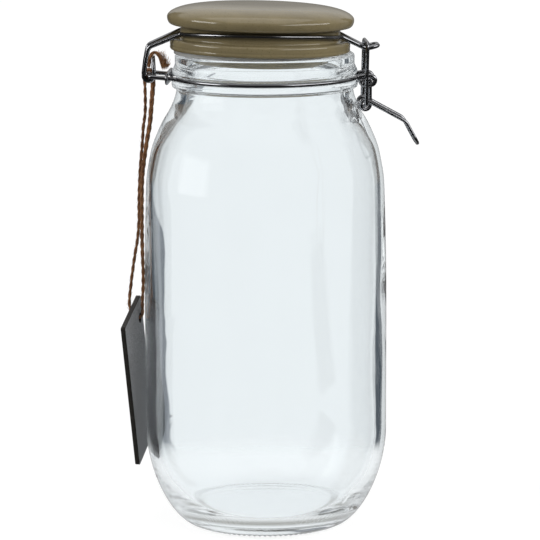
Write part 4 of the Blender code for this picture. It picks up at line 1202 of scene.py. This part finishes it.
def twine_mesh(name, points, radius, lay, seed, bulk=None):
    """Two plies laid together, each ridged by its strands; bulk thickens them by share."""
    frames = line_frames(points)
    whole = sum((end - start).length for start, end in zip(points, points[1:]))
    parts = ([], [], [])
    for ply in range(2):
        line = ply_line(points, frames, radius, lay, math.pi * ply)

        def shape(angle, run, ply=ply):
            ridge = math.cos(STRAND_RIDGES * angle + run * RIDGE_TWIST)
            swell = 0.0
            for index, scale in enumerate(LUMP_SCALES):
                place = (run * scale, ply * LUMP_STEPS[0], seed + index * LUMP_STEPS[1])
                swell += noise.noise(Vector(place))
            wide = EVEN_SHARE + RIDGE_SHARE * ridge + LUMP_SHARE * swell
            return wide * (bulk(run / whole) if bulk else 1.0)

        add_tube(parts, line, radius * PLY_SHARE, PLY_SIDES, shape)
    return new_mesh(name, *parts)


def add_runs(points, ways, length):
    """Goes on from the last of some points by one length along each of several directions."""
    for way in ways:
        points.append(points[-1] + way.normalized() * length)


def random_way(draw):
    """A random direction."""
    return Vector((draw.gauss(0, 1), draw.gauss(0, 1), draw.gauss(0, 1))).normalized()


def hairs_mesh(points, radius, count, draw):
    """Loose fibres that stand off the twine."""
    parts = ([], [], [])
    frames = line_frames(points)
    for _ in range(count):
        index = draw.randrange(2, len(points) - 2)
        along = (points[index + 1] - points[index - 1]).normalized()
        side, up = frames[index]
        angle = draw.uniform(0.0, math.tau)
        out = side * math.cos(angle) + up * math.sin(angle)
        if draw.random() < 0.5:
            along = -along
        line = [points[index] + out * (radius * HAIR_ROOT_SHARE)]
        length = draw.uniform(*HAIR_LENGTHS)
        ways = [
            along + out * HAIR_LIFT,
            along + out * draw.uniform(*HAIR_BENDS),
            along + random_way(draw) * HAIR_STRAY,
        ]
        add_runs(line, ways, length / len(ways))
        add_tube(parts, smooth_line(line, HAIR_STEPS), HAIR_RADIUS, HAIR_SIDES)
    return new_mesh("twine_hairs", *parts)


def loop_bulk(share):
    """How much thicker the twine is at a share of its loop: the second leg is the looser one."""
    return 1.0 + sum(more * eased(share, start, end) for more, start, end in LOOP_BULK_SHARES)


def tuft_mesh(line, draw):
    """The frayed end, whose fibres leave the loose end, spread, drop and curl up at the jar."""
    parts = ([], [], [])
    for _ in range(TUFT_FIBRES):
        share = draw.random() ** TUFT_CROWDING
        index = min(len(line) - 2, int(share * (len(line) - 1)))
        along = (line[index + 1] - line[index]).normalized()
        spread = random_way(draw)
        spread -= along * spread.dot(along)
        points = [line[index] + spread * (TWINE_RADIUS * draw.uniform(*TUFT_ROOT_SHARES))]
        left = (1.0 - share) * TUFT_LEAD * draw.uniform(*TUFT_LEAD_SHARES)
        lean = draw.random()
        out = Vector((TUFT_OUT[0] + TUFT_OUT[1] * lean, draw.gauss(0.0, TUFT_STRAY), 0.0))
        length = draw.uniform(*TUFT_LENGTHS)
        place = index
        while place < len(line) - 1 and (place - index) * TWINE_STEP < left:
            place = min(len(line) - 1, place + TUFT_STRIDE)
            loose = TUFT_LOOSE_SHARES[0] + TUFT_LOOSE_SHARES[1] * (place - index) / len(line)
            jitter = random_way(draw) * TUFT_JITTER
            points.append(line[place] + spread * (TWINE_RADIUS * loose) + jitter)
        along = (line[place] - line[max(0, place - 1)]).normalized()
        ways = [along + spread * TUFT_FIRST[0] + out * (TUFT_FIRST[1] * lean)]
        for lift, rise, reach, aside in TUFT_RUNS:
            ways.append(UP * (lift * lean + rise) + out * reach + spread * aside)
        curl = out * draw.uniform(*TUFT_CURLS)
        ways.append(UP * TUFT_LAST[0] + curl + spread * TUFT_LAST[1])
        add_runs(points, ways, length / len(ways))
        radius = HAIR_RADIUS * draw.uniform(*TUFT_THICKNESSES)
        add_tube(parts, smooth_line(points, TUFT_STEPS), radius, HAIR_SIDES)
    return new_mesh("twine_tuft", *parts)


def wrap_line():
    """The twine's turns round the hinge bar, with a straight lead to each leg of the loop."""
    lead = Vector((0.0, 0.0, -TWINE_RADIUS * 2))
    points = []
    count = math.ceil(WRAP_TURNS * math.tau / BEND_STEP)
    for index in range(count + 1):
        share = index / count
        angle = math.pi - WRAP_TURNS * math.tau * share
        offset = WRAP_OFFSET - 2 * WRAP_OFFSET * share
        points.append(HINGE + Vector((
            WRAP_RADIUS * math.cos(angle), offset, WRAP_RADIUS * math.sin(angle))))
    return [points[0] + lead] + points + [points[-1] + lead]


def add_twine(settings, material, frayed):
    """The loop of twine through the tag, its turns round the hinge bar and its frayed end."""
    draw = random.Random(FIBRE_SEED)
    radius = settings.radius
    loop, end = (
        even_line(smooth_line(route, ROUTE_STEPS), TWINE_STEP)
        for route in (TWINE_ROUTE, TWINE_END_ROUTE)
    )
    turns = even_line(wrap_line(), TWINE_STEP)
    lines = (
        ("twine_loop", loop, loop_bulk, "twine_cord"),
        ("twine_wrap", turns, None, "twine_knot"),
        ("twine_loose_end", end, None, "twine_end"),
    )
    for (name, line, bulk, node), seed in zip(lines, TWINE_SEEDS):
        mesh = twine_mesh(name, line, radius, settings.lay, seed, bulk)
        add_piece(name, mesh, material, "root", "jute", node)
    hairs = add_piece("twine_hairs", hairs_mesh(loop, radius, settings.hairs, draw),
                      material, "root", "jute")
    tuft = add_piece("twine_tuft", tuft_mesh(end, draw), frayed, "root", "jute")


# Tag


def tag_matrix():
    """The board's frame: across, down and through, with its origin in the board's middle."""
    turned = Vector((math.sin(TAG_TURN), math.cos(TAG_TURN), 0.0))
    across = turned * math.cos(TAG_TILT) + UP * math.sin(TAG_TILT)
    down = turned * math.sin(TAG_TILT) - UP * math.cos(TAG_TILT)
    through = across.cross(down)
    hole = Vector((-BODY_RADIUS - TAG_STANDOFF, 0.0, TAG_HOLE_HEIGHT))
    centre = hole + across * (TAG_HOLE_EDGE - TAG_WIDTH / 2)
    centre += down * (TAG_HEIGHT / 2 - TAG_HOLE_DROP)
    return Matrix.Translation(centre) @ Matrix((across, down, through)).transposed().to_4x4()


def add_tag(settings, material):
    """The bare board: rounded corners, softened edges and a drilled hole near one corner."""
    curve = bpy.data.curves.new("tag_outline", "CURVE")
    curve.dimensions = "2D"
    curve.fill_mode = "BOTH"
    curve.extrude = settings.thickness / 2 - TAG_BEVEL
    curve.bevel_depth = TAG_BEVEL
    curve.bevel_resolution = TAG_BEVEL_STEPS
    curve.offset = -TAG_BEVEL
    wide, high = TAG_WIDTH / 2, TAG_HEIGHT / 2
    corners = [(0.0, -high), (wide, -high), (wide, high)]
    corners += [(-wide, high), (-wide, -high), (-SMALL, -high)]
    path = [(Vector((across, down, 0.0)), TAG_CORNER) for across, down in corners]
    rim = even_line(bent_path(path), TAG_STEP)
    hole = Vector((wide - TAG_HOLE_EDGE, TAG_HOLE_DROP - high, 0.0))
    down = Vector((0.0, 1.0, 0.0))
    bore = arc_points(hole, RIGHT, down, TAG_HOLE_RADIUS, math.tau, 0.0, BEND_STEP)
    for points in (rim[:-1], bore[:-1]):
        spline = curve.splines.new("POLY")
        spline.points.add(len(points) - 1)
        for slot, point in zip(spline.points, points):
            slot.co = (*point, 1.0)
        spline.use_cyclic_u = True
    shape = bpy.data.objects.new("tag_outline", curve)
    mesh = bpy.data.meshes.new_from_object(shape)
    mesh.name = "hang_board"
    bpy.data.objects.remove(shape)
    mesh.transform(tag_matrix())
    mesh.shade_smooth()
    mesh.set_sharp_from_angle(angle=TAG_SHARP)
    mesh.materials.clear()
    add_piece("hang_board", mesh, material, "root", "chalk_board", "hang_tag")


# Finishes


def feed(tree, node, inputs):
    """Gives each named input of a node a value or another node's output."""
    for name, value in inputs.items():
        if isinstance(value, bpy.types.NodeSocket):
            tree.links.new(value, node.inputs[name])
        else:
            node.inputs[name].default_value = value


def add_node(tree, kind, inputs=None, **settings):
    """Adds a node with its settings and inputs."""
    node = tree.nodes.new(kind)
    for name, value in settings.items():
        setattr(node, name, value)
    feed(tree, node, inputs or {})
    return node


def calculate(tree, operation, *values):
    """The output of a math node."""
    inputs = dict(enumerate(values))
    return add_node(tree, "ShaderNodeMath", inputs, operation=operation).outputs[0]


def scaled(tree, value, factor):
    """A value times another."""
    return calculate(tree, "MULTIPLY", value, factor)


def fade(tree, value, start, end, low=0.0, high=1.0):
    """Maps a value smoothly from one range to another."""
    inputs = {"Value": value, "From Min": start, "From Max": end, "To Min": low, "To Max": high}
    node = add_node(tree, "ShaderNodeMapRange", inputs, interpolation_type="SMOOTHSTEP")
    return node.outputs[0]


def mixed(tree, factor, first, second):
    """The mix of two colours."""
    inputs = {0: factor}
    for socket, colour in zip(MIX_SOCKETS, (first, second)):
        is_fed = isinstance(colour, bpy.types.NodeSocket)
        inputs[socket] = colour if is_fed else (*colour, 1.0)
    return add_node(tree, "ShaderNodeMix", inputs, data_type="RGBA").outputs[2]


def dimmed(colour, share):
    """A darker tone of a colour."""
    return tuple(value * share for value in colour)


def new_group(name, inputs, outputs):
    """A shader node group with named sockets, and its inner input and output nodes."""
    tree = bpy.data.node_groups.new(name, "ShaderNodeTree")
    for label, kind, value in inputs:
        socket = tree.interface.new_socket(label, in_out="INPUT", socket_type=kind)
        socket.default_value = value
    for label, kind in outputs:
        tree.interface.new_socket(label, in_out="OUTPUT", socket_type=kind)
    return tree, tree.nodes.new("NodeGroupInput"), tree.nodes.new("NodeGroupOutput")


def use_group(tree, group, values):
    """The outputs of a group that is placed in a material with its own values."""
    return add_node(tree, "ShaderNodeGroup", values, node_tree=group).outputs


def place_noise(tree, place, inputs):
    """The value of a noise at a place."""
    return add_node(tree, "ShaderNodeTexNoise", {"Vector": place, **inputs}).outputs[0]


def streak_group():
    """Marks that run along a wire or a fibre, from UVs of turns round and metres along."""
    name = "streaks"
    if name in bpy.data.node_groups:
        return bpy.data.node_groups[name]
    tree, given, result = new_group(
        name,
        [("Around", "NodeSocketFloat", 6.0), ("Along", "NodeSocketFloat", 120.0),
         ("Detail", "NodeSocketFloat", 3.0)],
        [("Streaks", "NodeSocketFloat"), ("Patches", "NodeSocketFloat")])
    place = add_node(tree, "ShaderNodeUVMap")
    parts = add_node(tree, "ShaderNodeSeparateXYZ", {0: place.outputs[0]})
    angle = scaled(tree, parts.outputs[0], math.tau)
    across = scaled(tree, calculate(tree, "COSINE", angle), given.outputs["Around"])
    side = scaled(tree, calculate(tree, "SINE", angle), given.outputs["Around"])
    along = scaled(tree, parts.outputs[1], given.outputs["Along"])
    vector = add_node(tree, "ShaderNodeCombineXYZ", {0: across, 1: side, 2: along}).outputs[0]
    fine = place_noise(tree, vector, {"Scale": 1.0, "Detail": given.outputs["Detail"]})
    wide = place_noise(tree, vector, PATCH_NOISE)
    feed(tree, result, {
        "Streaks": fade(tree, fine, *STREAK_FADE),
        "Patches": fade(tree, wide, *PATCH_FADE),
    })
    return tree


def speckle_group():
    """Cloudy shading and fine specks, spread evenly through a piece."""
    name = "speckle"
    if name in bpy.data.node_groups:
        return bpy.data.node_groups[name]
    tree, given, result = new_group(
        name,
        [("Cloud Scale", "NodeSocketFloat", 40.0), ("Speck Scale", "NodeSocketFloat", 900.0),
         ("Speck Size", "NodeSocketFloat", 0.3)],
        [(label, "NodeSocketFloat") for label in ("Clouds", "Specks", "Grain")])
    place = add_node(tree, "ShaderNodeTexCoord").outputs["Object"]
    cloud_scale, speck_scale = given.outputs["Cloud Scale"], given.outputs["Speck Scale"]
    clouds = place_noise(tree, place, {"Scale": cloud_scale, **CLOUD_NOISE})
    cells = add_node(tree, "ShaderNodeTexVoronoi", {"Vector": place, "Scale": speck_scale})
    reach = calculate(tree, "SUBTRACT", given.outputs["Speck Size"], cells.outputs["Distance"])
    grain = place_noise(tree, place, {"Scale": speck_scale, "Detail": GRAIN_DETAIL})
    feed(tree, result, {
        "Clouds": fade(tree, clouds, *CLOUD_FADE),
        "Specks": scaled(tree, fade(tree, reach, *SPECK_EDGE), fade(tree, grain, *SPECK_FADE)),
        "Grain": grain,
    })
    return tree


def new_finish(name):
    """A new material, its node tree and its Principled shader."""
    material = bpy.data.materials.new(name)
    material.use_nodes = True
    return material, material.node_tree, material.node_tree.nodes["Principled BSDF"]


def raise_surface(tree, shader, height, distance, strength=1.0):
    """Lets a height bend the shader's normal."""
    bump = add_node(tree, "ShaderNodeBump", {
        "Height": height, "Distance": distance, "Strength": strength})
    tree.links.new(bump.outputs[0], shader.inputs["Normal"])


def glass_finish(settings):
    """Clear pressed glass with faint waves in its surface."""
    material, tree, shader = new_finish("clear_glass")
    place = add_node(tree, "ShaderNodeTexCoord").outputs["Object"]
    waves = place_noise(tree, place, GLASS_WAVES)
    smears = place_noise(tree, place, GLASS_SMEARS)
    feed(tree, shader, {
        "Transmission Weight": 1.0,
        "IOR": GLASS_IOR,
        "Base Color": mixed(tree, waves, settings.tint, dimmed(settings.tint, GLASS_DIM_SHARE)),
        "Roughness": fade(tree, smears, *GLASS_ROUGHNESS),
    })
    raise_surface(tree, shader, waves, *GLASS_BUMP)
    return material


def silicone_finish(settings):
    """Soft clear seal, slightly cloudy."""
    material, tree, shader = new_finish("clear_silicone")
    specks = use_group(tree, speckle_group(), SEAL_SPECKS)
    dim = dimmed(settings.silicone, SEAL_DIM_SHARE)
    feed(tree, shader, {
        "Transmission Weight": SEAL_CLEAR_SHARE,
        "IOR": SEAL_IOR,
        "Base Color": mixed(tree, specks["Clouds"], settings.silicone, dim),
        "Roughness": fade(tree, specks["Clouds"], *SEAL_ROUGHNESS),
    })
    raise_surface(tree, shader, specks["Grain"], SEAL_BUMP)
    return material


def glaze_finish(settings):
    """Glossy olive grey glaze with soft clouds, fine specks and an uneven skin."""
    material, tree, shader = new_finish("olive_grey_glaze")
    specks = use_group(tree, speckle_group(), GLAZE_SPECKS)
    dim = dimmed(settings.glaze, GLAZE_DIM_SHARE)
    cool = mixed(tree, specks["Clouds"], settings.glaze, dim)
    feed(tree, shader, {
        "Base Color": mixed(tree, specks["Specks"], cool, settings.thin_glaze),
        "Roughness": fade(tree, specks["Clouds"], *GLAZE_ROUGHNESS),
    })
    raise_surface(tree, shader, specks["Clouds"], *GLAZE_BUMP)
    return material


def steel_finish(settings):
    """Bright drawn wire with fine marks along it."""
    material, tree, shader = new_finish("steel_wire")
    marks = use_group(tree, streak_group(), STEEL_MARKS)
    colour = settings.steel
    for name, share in STEEL_MARK_SHARES.items():
        colour = mixed(tree, scaled(tree, marks[name], share), colour, settings.scale)
    feed(tree, shader, {
        "Metallic": 1.0,
        "Base Color": colour,
        "Roughness": fade(tree, marks["Streaks"], *STEEL_ROUGHNESS),
    })
    raise_surface(tree, shader, marks["Streaks"], STEEL_BUMP)
    return material


def jute_finish(name, light, dark):
    """Matt brown twine with pale and dark fibres along each ply."""
    material, tree, shader = new_finish(name)
    marks = use_group(tree, streak_group(), JUTE_MARKS)
    tone = scaled(tree, marks["Streaks"], fade(tree, marks["Patches"], *JUTE_PATCHES))
    feed(tree, shader, {
        "Base Color": mixed(tree, tone, dark, light),
        "Roughness": fade(tree, tone, *JUTE_ROUGHNESS),
        "Sheen Weight": JUTE_SHEEN,
    })
    raise_surface(tree, shader, marks["Streaks"], JUTE_BUMP)
    return material


def board_finish(settings):
    """Grey chalky faces with pale dust and painted shade towards the lower end, and dark sawn
    edges.
    """
    material, tree, shader = new_finish("chalk_board")
    specks = use_group(tree, speckle_group(), BOARD_SPECKS)
    place = add_node(tree, "ShaderNodeTexCoord").outputs
    through = tag_matrix().col[2].to_3d()
    facing = add_node(
        tree, "ShaderNodeVectorMath", {0: place["Normal"], 1: through}, operation="DOT_PRODUCT")
    facing = calculate(tree, "ABSOLUTE", facing.outputs["Value"])
    pits = calculate(
        tree, "MAXIMUM", fade(tree, specks["Grain"], *BOARD_GRAIN), specks["Specks"])
    # painted shade: the faces grow darker towards the board's lower end
    height = add_node(tree, "ShaderNodeSeparateXYZ", {0: place["Object"]}).outputs[2]
    colour = settings.face
    for amount, share in (
            (pits, BOARD_PIT_SHARE),
            (scaled(tree, specks["Clouds"], BOARD_CLOUD_SHARE), BOARD_CLOUD_DIM_SHARE),
            (fade(tree, height, *BOARD_PAINTED_SHADE), BOARD_PAINTED_SHADE_SHARE)):
        colour = mixed(tree, amount, colour, dimmed(settings.face, share))
    feed(tree, shader, {
        "Base Color": mixed(tree, fade(tree, facing, *BOARD_FACING), settings.edge, colour),
        "Roughness": fade(tree, specks["Grain"], *BOARD_ROUGHNESS),
        "Sheen Weight": BOARD_SHEEN,
        "Sheen Roughness": BOARD_SHEEN_ROUGHNESS,
    })
    raise_surface(tree, shader, specks["Grain"], BOARD_BUMP)
    return material


def floor_finish(settings):
    """Seamless pale floor, whose glow as the glass shows it holds a painted contact shadow where
    the jar stands on it.
    """
    material, tree, shader = new_finish("pale_floor")
    specks = use_group(tree, speckle_group(), FLOOR_SPECKS)
    dim = dimmed(settings.floor_colour, FLOOR_DIM_SHARE)
    rays = add_node(tree, "ShaderNodeLightPath").outputs
    place = add_node(tree, "ShaderNodeTexCoord").outputs["Object"]
    reach = add_node(tree, "ShaderNodeVectorMath", {0: place}, operation="LENGTH").outputs["Value"]
    # painted contact shadow: a darker ring round where the foot stands, in the glow seen through
    # the glass, fading out towards the back
    away = calculate(tree, "ABSOLUTE", calculate(tree, "SUBTRACT", reach, PAINTED_SHADOW_RADIUS))
    depth = add_node(tree, "ShaderNodeSeparateXYZ", {0: place}).outputs[1]
    back = fade(tree, depth, *PAINTED_SHADOW_BACK)
    clear = calculate(tree, "MAXIMUM", fade(tree, away, 0.0, PAINTED_SHADOW_WIDTH), back)
    shadowed_through = mixed(tree, clear, FLOOR_PAINTED_SHADOW, FLOOR_THROUGH)
    glow = mixed(tree, rays["Is Camera Ray"], FLOOR_GLOW, FLOOR_SEEN)
    feed(tree, shader, {
        "Base Color": mixed(tree, specks["Clouds"], settings.floor_colour, dim),
        "Roughness": FLOOR_ROUGHNESS,
        "Specular IOR Level": 0.0,
        "Emission Color": mixed(tree, rays["Is Transmission Ray"], glow, shadowed_through),
        "Emission Strength": 1.0,
        "Alpha": fade(tree, reach, *FLOOR_FADE, 1.0, 0.0),
    })
    return material


# Stage


def add_camera():
    """The camera, in front of the jar and a little to its left, looking slightly down."""
    ahead = Vector((math.sin(CAMERA_HEADING), math.cos(CAMERA_HEADING), 0.0))
    beside = Vector((math.cos(CAMERA_HEADING), -math.sin(CAMERA_HEADING), 0.0))
    view = ahead * math.cos(CAMERA_PITCH) - UP * math.sin(CAMERA_PITCH)
    top = ahead * math.sin(CAMERA_PITCH) + UP * math.cos(CAMERA_PITCH)
    right = beside * math.cos(CAMERA_ROLL) - top * math.sin(CAMERA_ROLL)
    top = beside * math.sin(CAMERA_ROLL) + top * math.cos(CAMERA_ROLL)
    eye = beside * CAMERA_SIDE - ahead * CAMERA_DISTANCE + UP * CAMERA_HEIGHT
    data = bpy.data.cameras.new("camera")
    data.lens = CAMERA_LENS
    data.sensor_width = CAMERA_SENSOR
    data.clip_start = CAMERA_NEAR
    camera = bpy.data.objects.new("camera", data)
    turn = Matrix((right, top, -view)).transposed().to_4x4()
    camera.matrix_world = Matrix.Translation(eye) @ turn
    bpy.context.scene.collection.objects.link(camera)
    bpy.context.scene.camera = camera


def add_light(name, power, glass_state):
    """A soft rectangular light on the jar, for the glass alone or for all but the glass."""
    azimuth, elevation, size = LIGHTS[name]
    azimuth, elevation = math.radians(azimuth), math.radians(elevation)
    across = Vector((math.sin(azimuth), -math.cos(azimuth), 0.0))
    out = across * math.cos(elevation) + UP * math.sin(elevation)
    data = bpy.data.lights.new(name, "AREA")
    data.shape = "RECTANGLE"
    data.size, data.size_y = size
    data.energy = power
    light = bpy.data.objects.new(name, data)
    light.location = out * LIGHT_DISTANCE + UP * (JAR_HEIGHT / 2)
    light.rotation_euler = (-out).to_track_quat("-Z", "Y").to_euler()
    bpy.context.scene.collection.objects.link(light)
    lit = bpy.data.collections.new(name + "_lit")
    lit.objects.link(bpy.data.objects["jar_glass"])
    lit.collection_objects[0].light_linking.link_state = glass_state
    light.light_linking.receiver_collection = lit


def fade_angles(tree, value, angles, low=0.0, high=1.0):
    """Maps a value smoothly between two angles in degrees."""
    start, end = (math.radians(angle) for angle in angles)
    return fade(tree, value, start, end, low, high)


def strip_mask(tree, azimuth, elevation, sides, end, softness=STRIP_SOFTNESS):
    """One in a strip between two sides, from its lower end upwards, and zero elsewhere."""
    left, right = sides
    rise = fade_angles(tree, azimuth, (left - softness, left + softness))
    drop = fade_angles(tree, azimuth, (right - softness, right + softness), 1.0, 0.0)
    return scaled(tree, scaled(tree, rise, drop), fade_angles(tree, elevation, end))


def leaning(tree, azimuth, elevation, start, limits, spread):
    """The azimuth, moved by a multiple of the elevation past a start, within two limits."""
    past = calculate(tree, "SUBTRACT", elevation, math.radians(start))
    past = calculate(tree, "MAXIMUM", past, math.radians(limits[0]))
    past = calculate(tree, "MINIMUM", past, math.radians(limits[1]))
    return calculate(tree, "MULTIPLY_ADD", past, spread, azimuth)


def add_world():
    """Pale surroundings: white to the camera, dark strips to the glass, dim to all else."""
    world = bpy.data.worlds.new("studio")
    bpy.context.scene.world = world
    world.use_nodes = True
    tree = world.node_tree
    tree.nodes.clear()
    place = add_node(tree, "ShaderNodeTexCoord").outputs["Generated"]
    across, depth, rise = add_node(tree, "ShaderNodeSeparateXYZ", {0: place}).outputs
    azimuth = calculate(tree, "ARCTAN2", across, depth)
    elevation = calculate(tree, "ARCSINE", rise)

    widened = leaning(
        tree, azimuth, elevation, LEFT_START, (0.0, LEFT_HEIGHT), -LEFT_SPREAD)
    left = strip_mask(tree, widened, elevation, LEFT_STRIP, LEFT_END)
    right = strip_mask(tree, azimuth, elevation, RIGHT_STRIP, RIGHT_END)
    top = fade_angles(tree, elevation, HAZE_END, 1.0, 0.0)
    dark = scaled(tree, calculate(tree, "MAXIMUM", left, right), top)
    widened = leaning(tree, azimuth, elevation, GREY_START, (GREY_DEPTH, 0.0), GREY_SPREAD)
    grey = strip_mask(tree, widened, elevation, GREY_STRIP, GREY_END, GREY_SOFTNESS)
    high = fade_angles(tree, elevation, HAZE_START)
    through = mixed(tree, grey, THROUGH_LIGHT, THROUGH_GREY)
    through = mixed(tree, dark, through, mixed(tree, high, THROUGH_DARK, THROUGH_HAZE))

    behind = fade(tree, depth, *BEHIND_DEPTHS, *BEHIND_LIGHTS)
    behind = scaled(tree, behind, fade(tree, rise, *BEHIND_RISES, BEHIND_LOW_SHARE, 1.0))
    behind = scaled(tree, behind, fade(tree, dark, 0.0, 1.0, 1.0, STRIP_SHINE_SHARE))
    over = fade(tree, rise, *OVER_RISES, 0.0, OVER_LIGHT)
    gloss = calculate(tree, "MAXIMUM", behind, over)
    shine = add_node(tree, "ShaderNodeCombineColor", {0: gloss, 1: gloss, 2: gloss})
    rays = add_node(tree, "ShaderNodeLightPath").outputs
    light = mixed(tree, rays["Is Glossy Ray"], DULL_LIGHT, shine.outputs[0])
    light = mixed(tree, rays["Is Transmission Ray"], light, through)
    light = mixed(tree, rays["Is Camera Ray"], light, CAMERA_WHITE)
    background = add_node(tree, "ShaderNodeBackground", {"Color": light, "Strength": 1.0})
    add_node(tree, "ShaderNodeOutputWorld", {0: background.outputs[0]})


def add_floor(settings, material):
    """The pale floor under the jar."""
    mesh = bpy.data.meshes.new("floor")
    disc = bmesh.new()
    bmesh.ops.create_circle(disc, cap_ends=True, radius=settings.floor, segments=FLOOR_SEGMENTS)
    disc.to_mesh(mesh)
    disc.free()
    mesh.materials.append(material)
    floor = bpy.data.objects.new("floor", mesh)
    floor.location.z = -FLOOR_DROP
    bpy.context.scene.collection.objects.link(floor)


# Operators


class JAR_OT_camera(bpy.types.Operator):
    """Adds the camera"""
    bl_idname = "storage_jar.add_camera"
    bl_label = "Camera"

    def execute(self, context):
        add_camera()
        return {"FINISHED"}


class JAR_OT_tag(bpy.types.Operator):
    """Adds the bare board that hangs on the twine"""
    bl_idname = "storage_jar.add_tag"
    bl_label = "Tag"

    def execute(self, context):
        settings = context.scene.jar_tag
        add_tag(settings, board_finish(settings))
        return {"FINISHED"}


class JAR_OT_twine(bpy.types.Operator):
    """Adds the twine, its turns round the hinge bar and its frayed end"""
    bl_idname = "storage_jar.add_twine"
    bl_label = "Twine"

    def execute(self, context):
        settings = context.scene.jar_twine
        add_twine(settings, jute_finish("jute", settings.light, settings.dark),
                  jute_finish("frayed_jute", settings.frayed, settings.light))
        return {"FINISHED"}


class JAR_OT_glass(bpy.types.Operator):
    """Adds the glass body"""
    bl_idname = "storage_jar.add_glass"
    bl_label = "Glass"

    def execute(self, context):
        settings = context.scene.jar_glass
        add_glass(settings, glass_finish(settings))
        return {"FINISHED"}


class JAR_OT_lid(bpy.types.Operator):
    """Adds the glazed lid and its seal"""
    bl_idname = "storage_jar.add_lid"
    bl_label = "Lid and seal"

    def execute(self, context):
        settings = context.scene.jar_lid
        add_lid(settings, glaze_finish(settings))
        add_seal(silicone_finish(context.scene.jar_glass))
        return {"FINISHED"}


class JAR_OT_wires(bpy.types.Operator):
    """Adds the neck wire, its ferrule, the lid wire and the clasp"""
    bl_idname = "storage_jar.add_wires"
    bl_label = "Hinge and clasp wires"

    def execute(self, context):
        settings = context.scene.jar_wires
        add_wires(settings, steel_finish(settings))
        return {"FINISHED"}


class JAR_OT_stage(bpy.types.Operator):
    """Adds the floor, the lights and the surroundings"""
    bl_idname = "storage_jar.add_stage"
    bl_label = "Stage"

    def execute(self, context):
        settings = context.scene.jar_stage
        add_floor(settings, floor_finish(settings))
        for name in LIGHTS:
            state = "INCLUDE" if name == "left_glow" else "EXCLUDE"
            add_light(name, getattr(settings, name), state)
        add_world()
        context.scene.view_settings.view_transform = "Standard"
        light_paths = context.scene.cycles
        light_paths.max_bounces = BOUNCES
        light_paths.glossy_bounces = BOUNCES
        light_paths.transmission_bounces = BOUNCES
        return {"FINISHED"}


class JAR_PT_panel(bpy.types.Panel):
    """Buttons that build the jar piece by piece"""
    bl_idname = "JAR_PT_panel"
    bl_label = "Storage Jar"
    bl_space_type = "VIEW_3D"
    bl_region_type = "UI"
    bl_category = "Storage Jar"

    def draw(self, context):
        for operator in OPERATORS:
            self.layout.operator(operator.bl_idname)
        for name in SETTINGS:
            group = getattr(context.scene, name)
            box = self.layout.box()
            for key in group.bl_rna.properties.keys():
                if key not in ("rna_type", "name"):
                    box.prop(group, key)


OPERATORS = (
    JAR_OT_camera, JAR_OT_tag, JAR_OT_twine, JAR_OT_glass, JAR_OT_lid, JAR_OT_wires, JAR_OT_stage,
)
SETTINGS = {
    "jar_glass": JarSettings,
    "jar_lid": LidSettings,
    "jar_wires": WireSettings,
    "jar_twine": TwineSettings,
    "jar_tag": TagSettings,
    "jar_stage": StageSettings,
}


def register():
    """Registers the settings, the operators and the panel."""
    for name, group in SETTINGS.items():
        bpy.utils.register_class(group)
        setattr(bpy.types.Scene, name, PointerProperty(type=group))
    for operator in OPERATORS:
        bpy.utils.register_class(operator)
    bpy.utils.register_class(JAR_PT_panel)


def unregister():
    """Removes what register added."""
    bpy.utils.unregister_class(JAR_PT_panel)
    for operator in reversed(OPERATORS):
        bpy.utils.unregister_class(operator)
    for name, group in SETTINGS.items():
        delattr(bpy.types.Scene, name)
        bpy.utils.unregister_class(group)


def main():
    """Builds every piece in order."""
    register()
    for operator in OPERATORS:
        group, name = operator.bl_idname.split(".")
        getattr(getattr(bpy.ops, group), name)()


if __name__ == "__main__":
    main()
